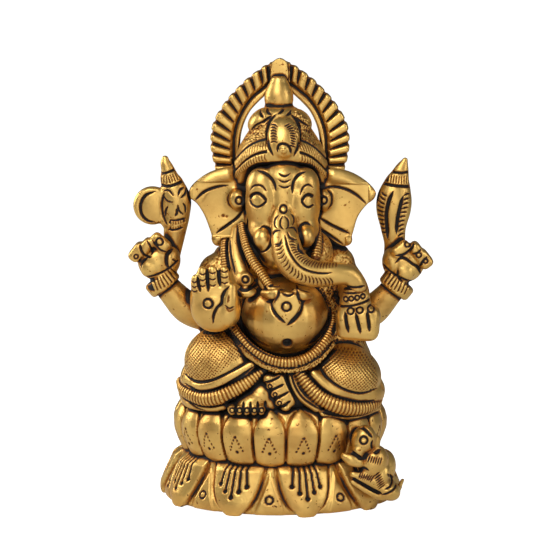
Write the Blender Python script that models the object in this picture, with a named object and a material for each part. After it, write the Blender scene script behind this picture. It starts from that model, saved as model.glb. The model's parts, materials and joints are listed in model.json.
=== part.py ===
"""Cast brass statuette of a seated, four-armed, elephant-headed deity on a double lotus.

Metres, +Z up. The figure faces -Y, its right hand side is at -X, and the origin is on the ground
under the middle of the base. Every mass that a founder would model or braze on by itself is one object.
"""

import math

import bmesh
import bpy
from mathutils import Euler, Matrix, Vector

MM = 0.001
GAP = 0.42 * MM  # how far a neighbour is grown before it is cut out of a piece

# Driving dimensions of the statuette.
HEIGHT = 100 * MM
ARM_SPAN = 68.4 * MM
PLINTH = {"half_width": 28.4 * MM, "half_depth": 21.0 * MM, "top": 11.6 * MM, "petals": 10, "phase": 12.0}
SEAT = {"half_width": 24.6 * MM, "half_depth": 19.8 * MM, "top": 22.6 * MM, "petals": 18, "phase": 12.0}
SEATS = {}  # the grown copies that cut room for each piece, by its name
HALO = {"arc_offset": 4.3 * MM, "arc_height": 80.4 * MM, "width": 5.7 * MM, "y": 6.0 * MM, "thick": 3.0 * MM}


def brass(name, colour, roughness):
    """A metal finish as a Principled BSDF."""
    material = bpy.data.materials.new(name)
    material.use_nodes = True
    shader = material.node_tree.nodes["Principled BSDF"]
    shader.inputs["Base Color"].default_value = (*colour, 1.0)
    shader.inputs["Metallic"].default_value = 1.0
    shader.inputs["Roughness"].default_value = roughness
    return material


def add_object(name, mesh):
    piece = bpy.data.objects.new(name, mesh)
    bpy.context.scene.collection.objects.link(piece)
    return piece


def from_bmesh(name, bm):
    bmesh.ops.recalc_face_normals(bm, faces=bm.faces)
    mesh = bpy.data.meshes.new(name)
    bm.to_mesh(mesh)
    bm.free()
    return add_object(name, mesh)


def settled(piece):
    """The piece with its modifiers turned into its own mesh."""
    bpy.context.view_layer.update()
    graph = bpy.context.evaluated_depsgraph_get()
    mesh = bpy.data.meshes.new_from_object(piece.evaluated_get(graph))
    mesh.name = piece.name
    piece.modifiers.clear()
    piece.data = mesh
    return piece


def boolean(piece, other, operation):
    modifier = piece.modifiers.new(operation.lower(), "BOOLEAN")
    modifier.operation = operation
    modifier.solver = "EXACT"
    modifier.object = other
    return settled(piece)


def cut(piece, other):
    return boolean(piece, other, "DIFFERENCE")


def fused(name, masses):
    """One closed solid from several masses that overlap. Their grown copies are kept for seats."""
    SEATS[name] = [grown(mass) for mass in masses]
    whole, *others = masses
    for other in others:
        boolean(whole, other, "UNION")
        bpy.data.objects.remove(other)
    whole.name = name
    whole.data.name = name
    return whole


def grown(piece, by=GAP):
    """A copy of a piece with its skin moved out, for cutting a clear seat in a neighbour."""
    bm = bmesh.new()
    bm.from_mesh(piece.data)
    bmesh.ops.remove_doubles(bm, verts=bm.verts, dist=0.02 * MM)
    bm.normal_update()
    shifts = [(vert, vert.normal * min(vert.calc_shell_factor(), 1.6) * by) for vert in bm.verts]
    for vert, shift in shifts:
        vert.co += shift
    mesh = bpy.data.meshes.new("seat")
    bm.to_mesh(mesh)
    bm.free()
    seat = add_object("seat", mesh)
    seat.hide_render = True
    return seat


def boxes_meet(one, other):
    ranges = [list(zip(*[corner[:] for corner in piece.bound_box])) for piece in (one, other)]
    return all(min(a) < max(b) + GAP and min(b) < max(a) + GAP for a, b in zip(*ranges))


def carve(pieces):
    """Cuts room out of each piece for the ones listed before it, which stay whole, and drops the crumbs."""
    for piece in pieces:
        if piece.name not in SEATS:
            SEATS[piece.name] = [grown(piece)]
    bpy.context.view_layer.update()
    for place, piece in enumerate(pieces):
        for earlier in pieces[:place]:
            for seat in SEATS[earlier.name]:
                if boxes_meet(piece, seat):
                    cut(piece, seat)
        keep_largest(piece)
    for seat in [seat for seats in SEATS.values() for seat in seats]:
        bpy.data.objects.remove(seat)


def keep_largest(piece):
    """Keeps the largest of the separate shells that a cut can leave."""
    bm = bmesh.new()
    bm.from_mesh(piece.data)
    bmesh.ops.remove_doubles(bm, verts=bm.verts, dist=0.01 * MM)
    shells, seen = [], set()
    for start in bm.verts:
        if start in seen:
            continue
        shell, front = {start}, [start]
        while front:
            for edge in front.pop().link_edges:
                for vert in edge.verts:
                    if vert not in shell:
                        shell.add(vert)
                        front.append(vert)
        seen |= shell
        shells.append(shell)
    shells.sort(key=spread, reverse=True)
    for shell in shells[1:]:
        bmesh.ops.delete(bm, geom=list(shell), context="VERTS")
    bm.to_mesh(piece.data)
    bm.free()


def spread(shell):
    """The diagonal of the box round some vertices."""
    low = Vector(min(vert.co[axis] for vert in shell) for axis in range(3))
    high = Vector(max(vert.co[axis] for vert in shell) for axis in range(3))
    return (high - low).length


def at_mm(*place):
    return Vector(place) * MM


def ellipsoid(name, centre, radii, turn=(0, 0, 0), segments=14, rings=9):
    """A ball stretched to three radii, in millimetres, and turned by degrees about its centre."""
    bm = bmesh.new()
    bmesh.ops.create_uvsphere(bm, u_segments=segments, v_segments=rings, radius=MM)
    scale = Matrix.Diagonal((*radii, 1.0))
    rotation = Euler([math.radians(angle) for angle in turn]).to_matrix().to_4x4()
    bm.transform(Matrix.Translation(at_mm(*centre)) @ rotation @ scale)
    return from_bmesh(name, bm)


def block(name, centre, size, turn=(0, 0, 0), bevel=0.6, segments=2):
    """A box with rounded edges, in millimetres."""
    bm = bmesh.new()
    bmesh.ops.create_cube(bm, size=1.0)
    bm.transform(Matrix.Diagonal((*[side * MM for side in size], 1.0)))
    bmesh.ops.bevel(
        bm, geom=bm.edges[:], offset=bevel * MM, offset_type="OFFSET", segments=segments,
        profile=0.5, affect="EDGES", clamp_overlap=True, material=-1,
    )
    rotation = Euler([math.radians(angle) for angle in turn]).to_matrix().to_4x4()
    bm.transform(Matrix.Translation(at_mm(*centre)) @ rotation)
    return from_bmesh(name, bm)


def tube(name, stations, sides=2, steps=3, flat=None):
    """A round limb through (x, y, z, radius) stations in millimetres, smooth along its length."""
    curve = bpy.data.curves.new(name, "CURVE")
    curve.dimensions = "3D"
    curve.resolution_u = steps
    curve.bevel_depth = MM
    curve.bevel_resolution = sides
    curve.use_fill_caps = True
    spline = curve.splines.new("BEZIER")
    spline.bezier_points.add(len(stations) - 1)
    for point, (x, y, z, radius) in zip(spline.bezier_points, stations):
        point.co = at_mm(x, y, z)
        point.radius = radius
        point.handle_left_type = "AUTO"
        point.handle_right_type = "AUTO"
    piece = settled_curve(name, curve)
    if flat:
        squeeze(piece, flat)
    return piece


def settled_curve(name, curve):
    """The mesh of a curve, closed where its caps meet its sides."""
    path = bpy.data.objects.new("path", curve)
    bpy.context.scene.collection.objects.link(path)
    bpy.context.view_layer.update()
    graph = bpy.context.evaluated_depsgraph_get()
    mesh = bpy.data.meshes.new_from_object(path.evaluated_get(graph))
    bpy.data.objects.remove(path)
    bm = bmesh.new()
    bm.from_mesh(mesh)
    bpy.data.meshes.remove(mesh)
    bmesh.ops.remove_doubles(bm, verts=bm.verts, dist=0.01 * MM)
    return from_bmesh(name, bm)


def squeeze(piece, amounts):
    """Scales a piece about the middle of its box."""
    corners = [Vector(corner) for corner in piece.bound_box]
    middle = sum(corners, Vector()) / len(corners)
    scale = Matrix.Diagonal((*amounts, 1.0))
    piece.data.transform(Matrix.Translation(middle) @ scale @ Matrix.Translation(-middle))


def turned(name, centre, profile, ratio=1.0, segments=20):
    """A solid turned about Z from (radius, height) pairs in millimetres, bottom first; ratio is depth to width."""
    bm = bmesh.new()
    foot = bm.verts.new((0, 0, profile[0][1] * MM))
    rim = [bm.verts.new((radius * MM, 0, height * MM)) for radius, height in profile]
    crown = bm.verts.new((0, 0, profile[-1][1] * MM))
    line = [foot, *rim, crown]
    edges = [bm.edges.new(pair) for pair in zip(line, line[1:])]
    bmesh.ops.spin(
        bm, geom=[*line, *edges], cent=(0, 0, 0), axis=(0, 0, 1), dvec=(0, 0, 0),
        angle=2 * math.pi, steps=segments, use_merge=True, use_duplicate=False,
    )
    bmesh.ops.remove_doubles(bm, verts=bm.verts, dist=0.01 * MM)
    bm.transform(Matrix.Translation(at_mm(*centre)) @ Matrix.Diagonal((1, ratio, 1, 1)))
    return from_bmesh(name, bm)


def plate(name, outline, y, thick, rim=0.5):
    """A flat shape in the plane that faces the front, with a smooth outline of (x, z) points in millimetres."""
    curve = bpy.data.curves.new(name, "CURVE")
    curve.dimensions = "2D"
    curve.fill_mode = "BOTH"
    curve.resolution_u = 2
    curve.extrude = (thick / 2 - rim) * MM
    curve.bevel_depth = rim * MM
    curve.bevel_resolution = 1
    curve.offset = -rim * MM
    spline = curve.splines.new("BEZIER")
    spline.bezier_points.add(len(outline) - 1)
    spline.use_cyclic_u = True
    for point, (x, z) in zip(spline.bezier_points, outline):
        point.co = at_mm(x, z, 0)
        point.handle_left_type = "AUTO"
        point.handle_right_type = "AUTO"
    piece = settled_curve(name, curve)
    piece.data.transform(Matrix.Translation(at_mm(0, y, 0)) @ Matrix.Rotation(math.pi / 2, 4, "X"))
    return piece


def ring(bm, half_width, half_depth, z, petals=0, slit=0.0, phase=0.0, segments=60):
    """One level of a tier: an ellipse whose edge bulges between the slits that part its petals."""
    verts = []
    for step in range(segments):
        angle = 2 * math.pi * step / segments
        across = abs(math.cos((angle + math.radians(phase)) * petals / 2)) if petals else 1.0
        swell = 1.0 - slit * (1.0 - across) ** 2
        verts.append(bm.verts.new((half_width * swell * math.sin(angle), -half_depth * swell * math.cos(angle), z)))
    return verts


def tier(name, levels):
    """A solid through a stack of rings, closed flat at both ends."""
    bm = bmesh.new()
    loops = [ring(bm, **level) for level in levels]
    for lower, upper in zip(loops, loops[1:]):
        bmesh.ops.bridge_loops(bm, edges=ring_edges(bm, lower) + ring_edges(bm, upper))
    for loop in (loops[0], loops[-1]):
        bm.faces.new(loop)
    return from_bmesh(name, bm)


def ring_edges(bm, loop):
    pairs = zip(loop, loop[1:] + loop[:1])
    return [bm.edges.get(pair) or bm.edges.new(pair) for pair in pairs]


def levels_of(shape, stations, petals=0, phase=0.0, segments=60):
    """Ring values from (share of the width, share of the depth, height, slit depth) stations."""
    return [
        {
            "half_width": shape["half_width"] * wide, "half_depth": shape["half_depth"] * deep, "z": height * MM,
            "petals": petals, "slit": slit, "phase": phase, "segments": segments,
        }
        for wide, deep, height, slit in stations
    ]


# The pedestal: a flared lower tier, hollow underneath, and the seat of upturned petals.


def lotus_plinth():
    stations = [(0.985, 0.985, 0, 0.14), (1.0, 1.0, 1.4, 0.13), (0.985, 0.98, 3.4, 0.11),
                (0.91, 0.93, 7.2, 0.07), (0.81, 0.89, 11.6, 0.0)]
    body = tier("lotus_plinth", levels_of(PLINTH, stations, PLINTH["petals"], PLINTH["phase"], segments=80))
    hollow = [(0.8, 0.79, -2, 0), (0.76, 0.75, 4, 0), (0.66, 0.68, 8.2, 0)]
    hole = tier("hollow", levels_of(PLINTH, hollow, segments=36))
    cut(body, hole)
    bpy.data.objects.remove(hole)
    return body


def lotus_seat():
    stations = [(0.91, 0.94, 12.0, 0.05), (0.985, 0.985, 14.2, 0.09), (1.0, 1.0, 17.2, 0.09),
                (0.985, 0.985, 20.0, 0.09), (0.93, 0.93, 22.0, 0.05), (0.86, 0.86, 22.6, 0.0)]
    return tier("lotus_seat", levels_of(SEAT, stations, SEAT["petals"], SEAT["phase"], segments=72))


# The body.


def torso():
    core = {"half_width": MM, "half_depth": MM}
    levels = [(22.4, 13.6, 23.0, 0), (23.4, 14.4, 26, 0), (21.8, 14.0, 31, 0), (18.5, 12.6, 36, 0),
              (16.6, 11.6, 42, 0), (16.6, 10.6, 48, 0), (17.4, 9.2, 53, 0), (15.2, 7.6, 57, 0), (9.5, 5.6, 60.5, 0)]
    body = tier("torso", levels_of(core, levels, segments=28))
    body.data.transform(Matrix.Translation(at_mm(0.2, 3.0, 0)))
    return body


def belly():
    return ellipsoid("belly", (0.2, -8.4, 42.9), (9.4, 10.6, 8.4), segments=20, rings=11)


def waist_belt():
    half_round = [(-12.0, -7.0, 42.0), (-10.4, -12.6, 39.2), (-6.0, -16.8, 35.8), (0.2, -18.0, 34.3),
                  (6.2, -16.8, 35.3), (10.4, -12.6, 38.0), (12.2, -7.0, 41.0)]
    return tube("waist_belt", [(*place, 1.2) for place in half_round])


def leg(name, side, knee_top, hem_drop):
    """A folded leg under its cloth: the knee dome and the lap that runs in to the middle."""
    dome = ellipsoid("dome", (side * 13.4, -7.6, knee_top - 7.4), (9.0, 10.0, 7.6), (0, side * 10, 0), segments=18)
    lap = ellipsoid("lap", (side * 8.4, -8.6, 31.4 - hem_drop), (8.4, 8.4, 5.2), (0, side * -22, 0))
    return fused(name, [dome, lap])


def robe_hem(name, side, path):
    """The gathered hem that edges the cloth over a shin."""
    return tube(name, [(side * x, y, z, radius) for x, y, z, radius in path], steps=3)


def right_foot():
    instep = ellipsoid("instep", (-6.0, -13.6, 26.0), (5.6, 4.8, 2.9), (0, -26, 0), segments=14, rings=9)
    toes = [ellipsoid("toe", (-10.6 + 1.9 * step, -17.5, 24.5), (1.15, 2.2, 1.5), segments=8, rings=6)
            for step in range(5)]
    return fused("right_foot", [instep, *toes])


def left_foot():
    sole = block("sole", (1.5, -14.6, 27.2), (4.6, 5.2, 8.8), (0, 28, 0), bevel=1.0)
    toes = [ellipsoid("toe", (-0.4 + 0.9 * step, -16.9, 29.4 - 1.8 * step), (1.2, 1.3, 0.95), (0, 28, 0), 8, 6)
            for step in range(4)]
    return fused("left_foot", [sole, *toes])


# The head and what it carries.


def head():
    skull = ellipsoid("skull", (0.4, -2.6, 68.2), (8.3, 9.6, 10.0), segments=18, rings=11)
    muzzle = tube("muzzle", [(0.6, -5, 68, 5.8), (0.9, -7.2, 62.5, 5.4), (1.2, -8.6, 57.6, 4.6)], sides=3)
    domes = [ellipsoid("dome", (0.5 + side * 4.4, -8.4, 72.4), (3.7, 3.6, 3.9), segments=14) for side in (-1, 1)]
    return fused("head", [skull, muzzle, *domes])


def trunk():
    stations = [(0.7, -10.2, 66.4, 2.4), (1.0, -13.0, 61.6, 3.3), (2.4, -15.4, 57.2, 3.9), (6.2, -16.8, 54.6, 3.5),
                (10.8, -17.0, 54.2, 2.8), (15.0, -16.4, 53.2, 2.5), (16.9, -16.0, 50.4, 2.2)]
    return tube("trunk", stations, sides=3, steps=3)


def tusk(name, side):
    return ellipsoid(name, (0.8 + side * 5.1, -10.8, 61.4), (1.9, 3.2, 2.7), (-20, 0, 0), segments=12, rings=8)


EAR_OUTLINE = [(6.6, 74.4), (10.6, 75.4), (15.6, 74.3), (18.6, 72.4), (20.6, 70.2), (20.2, 68.2), (17.9, 66.2),
               (16.1, 63.0), (15.2, 59.4), (14.4, 58.2), (11.2, 59.3), (7.4, 61.8), (5.6, 67.5)]


def ear(name, side, shift):
    outline = [(side * x + shift, z) for x, z in EAR_OUTLINE]
    return plate(name, outline, -1.8, 3.4, rim=0.8)


def ear_stud(name, side):
    stud = turned(name, (0, 0, 0), [(1.9, -0.5), (2.0, 0.6), (1.5, 1.2), (0.7, 1.5)], segments=12)
    stud.data.transform(Matrix.Translation(at_mm(0.4 + side * 9.9, -3.5, 69.0)) @ Matrix.Rotation(math.pi / 2, 4, "X"))
    return stud


def crown_cap():
    profile = [(8.6, 71.4), (10.4, 73.0), (10.6, 76.0), (10.0, 79.0), (8.8, 81.8), (7.2, 84.2), (5.5, 86.6),
               (4.1, 88.6), (3.2, 89.6)]
    return turned("crown_cap", (0.2, 0.4, 0), profile, ratio=1.02, segments=20)


def crown_knot(name, side):
    return ellipsoid(name, (0.2 + side * 5.9, -1.0, 85.6), (2.9, 3.4, 2.0), (0, side * 35, 0), segments=12, rings=8)


def crown_crest():
    return ellipsoid("crown_crest", (0.8, -9.2, 82.8), (3.7, 2.4, 5.0), (-24, 0, 0), segments=16, rings=10)


def crown_finial():
    profile = [(3.0, 88.9), (3.1, 90.6), (3.0, 91.6), (2.6, 93.2), (2.0, 94.8), (1.5, 96.0)]
    return turned("crown_finial", (-0.1, 2.0, 0), profile, ratio=0.95, segments=16)


def arch_points(radius):
    """The pointed arch of two circular arcs, from the right foot over the point to the left foot."""
    offset, level = HALO["arc_offset"], HALO["arc_height"]
    top = math.acos(offset / radius)
    foot = -math.radians(22)
    steps = 14
    arc = [foot + (top - foot) * step / steps for step in range(steps + 1)]
    half = [(-offset + radius * math.cos(angle), level + radius * math.sin(angle)) for angle in arc]
    return half + [(-x, z) for x, z in reversed(half[:-1])]


def halo_arch():
    outer_radius = math.hypot(HEIGHT - HALO["arc_height"], HALO["arc_offset"])
    lines = [arch_points(outer_radius), arch_points(outer_radius - HALO["width"])]
    bm = bmesh.new()
    front = HALO["y"] - HALO["thick"] / 2
    edges = []
    for line in lines:
        row = [bm.verts.new((x, front, z)) for x, z in line]
        edges += [bm.edges.new(pair) for pair in zip(row, row[1:])]
    bmesh.ops.bridge_loops(bm, edges=edges)
    whole = bmesh.ops.extrude_face_region(bm, geom=bm.faces[:])
    back = [item for item in whole["geom"] if isinstance(item, bmesh.types.BMVert)]
    bmesh.ops.translate(bm, verts=back, vec=(0, HALO["thick"], 0))
    return from_bmesh("halo_arch", bm)


def halo_keystone():
    return block("halo_keystone", (-0.1, 3.2, 97.4), (3.3, 3.2, 4.2), bevel=0.8)


# The necklace, the sash and the pendant.


def garland(name, path):
    return tube(name, [(*place, 1.25) for place in path], steps=3)


def shoulder_sash():
    stations = [(-11.0, -4.0, 61.6, 1.8), (-10.6, -6.4, 57.6, 2.1), (-9.4, -8.4, 53.8, 2.2), (-8.2, -9.4, 50.4, 2.0)]
    return tube("shoulder_sash", stations)


def pendant():
    outline = [(1.5, 50.0), (3.6, 49.0), (4.2, 46.2), (3.2, 44.0), (1.5, 42.8), (-0.3, 44.0), (-1.2, 46.2), (-0.6, 49.0)]
    return plate("pendant", outline, -17.4, 4.4, rim=0.6)


# The rear pair of arms with the axe and the noose.


def rear_arm(name, side, lift):
    stations = [(side * 12.5, 1.6, 51.0, 3.8), (side * 18.0, 0.8, 46.2, 3.8), (side * 22.6, -0.2, 44.6, 3.5),
                (side * 26.6, -1.4, 49.4 + lift, 2.9)]
    return tube(name, stations, sides=2)


def bangle(name, centre, radius, width, turn):
    """A band round a wrist, as a short barrel on its own axis."""
    profile = [(radius * 0.9, -width / 2), (radius, -width / 4), (radius, width / 4), (radius * 0.9, width / 2)]
    band = turned(name, (0, 0, 0), profile, segments=14)
    rotation = Euler([math.radians(angle) for angle in turn]).to_matrix().to_4x4()
    band.data.transform(Matrix.Translation(at_mm(*centre)) @ rotation)
    return band


def rear_hand(name, side, lift):
    palm = block("palm", (side * 28.0, -2.2, 54.2 + lift), (7.4, 6.0, 7.4), (0, side * -40, 0), bevel=1.9)
    fingers = [block("finger", (side * (29.3 + 1.1 * step), -4.0, 58.0 + lift - 1.5 * step), (5.6, 3.4, 1.9),
                     (0, side * -40, 0), bevel=0.7, segments=1) for step in range(4)]
    return fused(name, [palm, *fingers])


def axe_shaft():
    stations = [(-24.9, -0.4, 54.6, 2.3), (-24.0, -0.6, 60.4, 2.4), (-23.2, -0.8, 65.0, 3.1), (-23.9, -1.0, 69.6, 2.9),
                (-24.8, -1.0, 73.2, 2.0), (-25.6, -1.0, 76.6, 0.9), (-25.9, -1.0, 78.6, 0.3)]
    return tube("axe_shaft", stations, sides=2)


def axe_blade():
    blade = turned("axe_blade", (0, 0, 0), [(3.7, -1.2), (4.3, -0.7), (4.3, 0.7), (3.7, 1.2)], segments=20)
    blade.data.transform(Matrix.Translation(at_mm(-28.7, -1.2, 67.1)) @ Matrix.Rotation(math.pi / 2, 4, "X"))
    return blade


def noose():
    stations = [(25.6, -0.4, 55.2, 2.3), (25.8, -0.6, 60.2, 2.6), (25.9, -0.9, 65.0, 3.7), (25.9, -1.0, 69.6, 3.9),
                (26.6, -1.0, 72.6, 2.7), (27.4, -1.0, 75.2, 1.7), (28.2, -1.0, 77.8, 0.4)]
    body = tube("noose", stations, sides=2)
    squeeze(body, (1.0, 0.82, 1.0))
    return body


# The front pair of arms: the raised palm of blessing and the hand that gives.


def front_arm(name, path):
    return tube(name, path, sides=2)


def blessing_hand():
    palm = ellipsoid("palm", (-14.3, -15.8, 46.4), (5.2, 3.4, 5.4))
    fingers = [tube("finger", [(-17.6 + 2.05 * step, -16.2, 48.0, 1.15), (-18.2 + 2.1 * step, -17.2, 53.2 + rise, 1.1),
                               (-18.3 + 2.1 * step, -17.2, 54.8 + rise, 0.7)], steps=2)
               for step, rise in enumerate((-1.4, -0.2, 0.0, -0.4))]
    thumb = tube("thumb", [(-11.4, -16.4, 44.6, 1.9), (-10.5, -17.6, 48.4, 1.7), (-10.2, -17.8, 50.8, 1.0)], steps=2)
    return fused("blessing_hand", [palm, *fingers, thumb])


def giving_hand():
    back = block("back", (17.0, -14.0, 43.4), (8.8, 5.0, 6.4), bevel=1.6)
    fingers = [block("finger", (13.6 + 2.25 * step, -16.2, 42.6), (2.0, 4.4, 6.4), bevel=0.8, segments=1)
               for step in range(4)]
    return fused("giving_hand", [back, *fingers])


# The mouse on the edge of the pedestal.


def mouse_body():
    rump = ellipsoid("rump", (23.6, -12.6, 8.8), (4.8, 4.8, 5.0), (0, 24, 0), segments=14, rings=9)
    breast = ellipsoid("breast", (19.8, -16.4, 12.4), (3.4, 3.4, 4.2), (0, 34, 0), segments=12, rings=8)
    haunch = ellipsoid("haunch", (24.4, -14.8, 5.2), (4.4, 3.6, 3.2), (0, 30, 0), segments=12, rings=8)
    return fused("mouse_body", [rump, breast, haunch])


def mouse_head():
    skull = ellipsoid("skull", (18.6, -17.4, 16.8), (2.6, 2.7, 3.3), (0, 24, 0), segments=14, rings=9)
    ear_piece = ellipsoid("ear", (21.2, -16.8, 16.0), (1.5, 1.2, 1.9), (0, 10, 0), segments=10, rings=7)
    return fused("mouse_head", [skull, ear_piece])


def mouse_sweet():
    return ellipsoid("mouse_sweet", (15.9, -18.2, 12.8), (1.9, 2.0, 1.6), segments=12, rings=8)


def finish(pieces):
    """Gives every piece its finish and smooth shading."""
    polished = brass("polished_brass", (0.78, 0.55, 0.22), 0.3)
    antique = brass("antique_brass", (0.52, 0.34, 0.12), 0.45)
    darker = {"torso", "lotus_plinth", "lotus_seat", "waist_belt", "shoulder_sash"}
    for piece in pieces:
        piece.data.materials.clear()
        piece.data.materials.append(antique if piece.name in darker else polished)
        piece.data.shade_smooth()
        piece.data.set_sharp_from_angle(angle=math.radians(40))


def build():
    for old in list(bpy.data.objects):
        bpy.data.objects.remove(old)
    right_hem = [(22.0, -5.6, 27.2, 1.5), (19.4, -12.2, 26.2, 1.9), (12.4, -16.6, 27.2, 2.0), (6.6, -16.4, 30.0, 1.7),
                 (2.8, -14.4, 33.0, 1.2)]
    left_hem = [(22.6, -5.6, 24.6, 1.5), (19.6, -12.6, 23.8, 1.9), (12.4, -16.8, 25.0, 2.0), (7.4, -16.6, 28.4, 1.8),
                (4.2, -14.6, 32.2, 1.3)]
    right_string = [(-7.6, -5.0, 63.0), (-7.4, -9.2, 58.4), (-5.8, -12.4, 54.4), (-3.4, -14.4, 51.0), (-1.6, -15.8, 49.0)]
    left_string = [(9.4, -5.0, 62.6), (9.6, -8.2, 58.8), (8.2, -10.8, 55.0)]
    right_path = [(-14.6, -0.6, 53.6, 3.8), (-16.6, -4.0, 48.0, 3.9), (-16.2, -8.6, 44.4, 3.7), (-14.8, -13.6, 44.6, 3.2)]
    left_path = [(13.4, -0.6, 54.2, 3.8), (17.6, -4.0, 49.6, 3.9), (18.2, -8.8, 46.4, 3.6), (16.8, -14.0, 46.0, 2.8)]
    pieces = [
        halo_keystone(), crown_finial(), crown_crest(),
        crown_knot("right_crown_knot", -1), crown_knot("left_crown_knot", 1),
        bangle("rear_right_bangle", (-26.8, -1.5, 49.9), 3.8, 3.2, (0, -38, 0)),
        bangle("rear_left_bangle", (26.6, -1.5, 49.2), 3.8, 3.2, (0, 38, 0)),
        bangle("front_left_bangle", (16.8, -15.0, 48.1), 3.3, 3.0, (6, 0, 0)),
        pendant(), ear_stud("right_ear_stud", -1), ear_stud("left_ear_stud", 1),
        tusk("right_tusk", -1), tusk("left_tusk", 1), trunk(),
        mouse_sweet(), mouse_head(), mouse_body(),
        axe_shaft(), axe_blade(), noose(),
        rear_hand("rear_right_hand", -1, 0.0), rear_hand("rear_left_hand", 1, -0.3),
        giving_hand(), blessing_hand(), left_foot(), right_foot(), waist_belt(),
        robe_hem("right_hem", -1, right_hem), robe_hem("left_hem", 1, left_hem),
        head(), garland("right_garland", right_string), garland("left_garland", left_string), shoulder_sash(),
        halo_arch(), crown_cap(), ear("right_ear", -1, 0.0), ear("left_ear", 1, 0.9),
        belly(), leg("right_leg", -1, 40.2, 0.0), leg("left_leg", 1, 37.4, 1.6),
        front_arm("front_right_arm", right_path), front_arm("front_left_arm", left_path),
        rear_arm("rear_right_arm", -1, 0.0), rear_arm("rear_left_arm", 1, -0.6),
        torso(), lotus_seat(), lotus_plinth(),
    ]
    carve(pieces)
    finish(pieces)


build()
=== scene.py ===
import json
import math

import bmesh
import bpy
import numpy as np
from mathutils import Euler, Matrix, Vector


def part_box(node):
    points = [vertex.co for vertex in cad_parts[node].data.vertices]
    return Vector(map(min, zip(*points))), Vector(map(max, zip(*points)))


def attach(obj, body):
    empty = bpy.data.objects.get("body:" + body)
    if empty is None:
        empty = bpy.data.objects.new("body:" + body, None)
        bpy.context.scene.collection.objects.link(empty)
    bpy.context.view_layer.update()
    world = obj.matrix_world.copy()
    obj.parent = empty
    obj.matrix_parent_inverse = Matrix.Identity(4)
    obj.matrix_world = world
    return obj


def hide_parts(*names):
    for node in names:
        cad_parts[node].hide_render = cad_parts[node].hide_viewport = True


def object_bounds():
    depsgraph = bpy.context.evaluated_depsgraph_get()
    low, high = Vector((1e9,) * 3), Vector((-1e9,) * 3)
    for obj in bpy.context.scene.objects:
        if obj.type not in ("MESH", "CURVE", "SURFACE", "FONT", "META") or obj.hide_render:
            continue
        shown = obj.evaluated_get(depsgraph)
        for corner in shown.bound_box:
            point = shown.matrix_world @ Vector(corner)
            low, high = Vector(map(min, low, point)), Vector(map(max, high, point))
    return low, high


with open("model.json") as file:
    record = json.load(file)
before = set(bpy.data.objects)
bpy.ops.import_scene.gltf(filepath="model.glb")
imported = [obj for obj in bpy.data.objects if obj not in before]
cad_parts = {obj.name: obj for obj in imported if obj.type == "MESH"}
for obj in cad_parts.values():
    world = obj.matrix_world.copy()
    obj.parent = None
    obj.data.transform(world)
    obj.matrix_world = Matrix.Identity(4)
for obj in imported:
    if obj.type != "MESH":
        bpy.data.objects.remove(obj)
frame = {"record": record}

cadLow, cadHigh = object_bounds()
unit = (cadHigh[2] - cadLow[2]) / 100   # a hundredth of the statuette's height, and the unit of every measure below
coarse = 1.0
castings = []   # every sculpted piece, kept until its patina and painted shade are known


def spotOf(node):
    # middle and half size of a CAD node, in units
    low, high = (np.array(corner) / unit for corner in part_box(node))
    return (low + high) / 2, (high - low) / 2


def placed(centre, radii=(1, 1, 1), turn=(0, 0, 0)):
    angles = [math.radians(angle) for angle in turn]
    return Matrix.Translation(centre) @ Euler(angles).to_matrix().to_4x4() @ Matrix.Diagonal((*radii, 1))


def addBall(blank, centre, radii, turn=(0, 0, 0)):
    part = bmesh.new()
    bmesh.ops.create_uvsphere(part, u_segments=24, v_segments=16, radius=1, matrix=placed(centre, radii, turn))
    pour(part, blank)


def addSlab(blank, centre, size, turn=(0, 0, 0), edge=0.6):
    part = bmesh.new()
    bmesh.ops.create_cube(part, size=1, matrix=Matrix.Diagonal((*size, 1)))
    bmesh.ops.bevel(part, geom=part.edges[:], offset=edge, offset_type="OFFSET", segments=3,
                    profile=0.5, affect="EDGES", clamp_overlap=True, material=-1)
    part.transform(placed(centre, turn=turn))
    pour(part, blank)


def addTurned(blank, profile, matrix, ratio=1.0):
    # profile is (radius, height) pairs from the bottom up, spun about Z and pressed to ratio in depth
    part = bmesh.new()
    line = [part.verts.new((0, 0, profile[0][1]))]
    line += [part.verts.new((radius, 0, height)) for radius, height in profile]
    line.append(part.verts.new((0, 0, profile[-1][1])))
    edges = [part.edges.new(pair) for pair in zip(line, line[1:])]
    bmesh.ops.spin(part, geom=line + edges, cent=(0, 0, 0), axis=(0, 0, 1), dvec=(0, 0, 0),
                   angle=2 * math.pi, steps=64, use_merge=True, use_duplicate=False)
    bmesh.ops.remove_doubles(part, verts=part.verts, dist=0.001)
    bmesh.ops.recalc_face_normals(part, faces=part.faces)
    part.transform(matrix @ Matrix.Diagonal((1, ratio, 1, 1)))
    pour(part, blank)


def addPlate(blank, outline, y, thick):
    # a flat piece that faces the front, from a smooth outline of (x, z) points
    part = bmesh.new()
    line = flow(outline, 6, closed=True)[:-1]
    face = part.faces.new([part.verts.new((x, y - thick / 2, z)) for x, z in line])
    grown = bmesh.ops.extrude_face_region(part, geom=[face])
    moved = [item for item in grown["geom"] if isinstance(item, bmesh.types.BMVert)]
    bmesh.ops.translate(part, vec=(0, thick, 0), verts=moved)
    bmesh.ops.recalc_face_normals(part, faces=part.faces)
    pour(part, blank)


def pour(part, blank):
    # adds one bmesh to another
    mesh = bpy.data.meshes.new("part")
    part.to_mesh(mesh)
    part.free()
    blank.from_mesh(mesh)
    bpy.data.meshes.remove(mesh)


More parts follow.
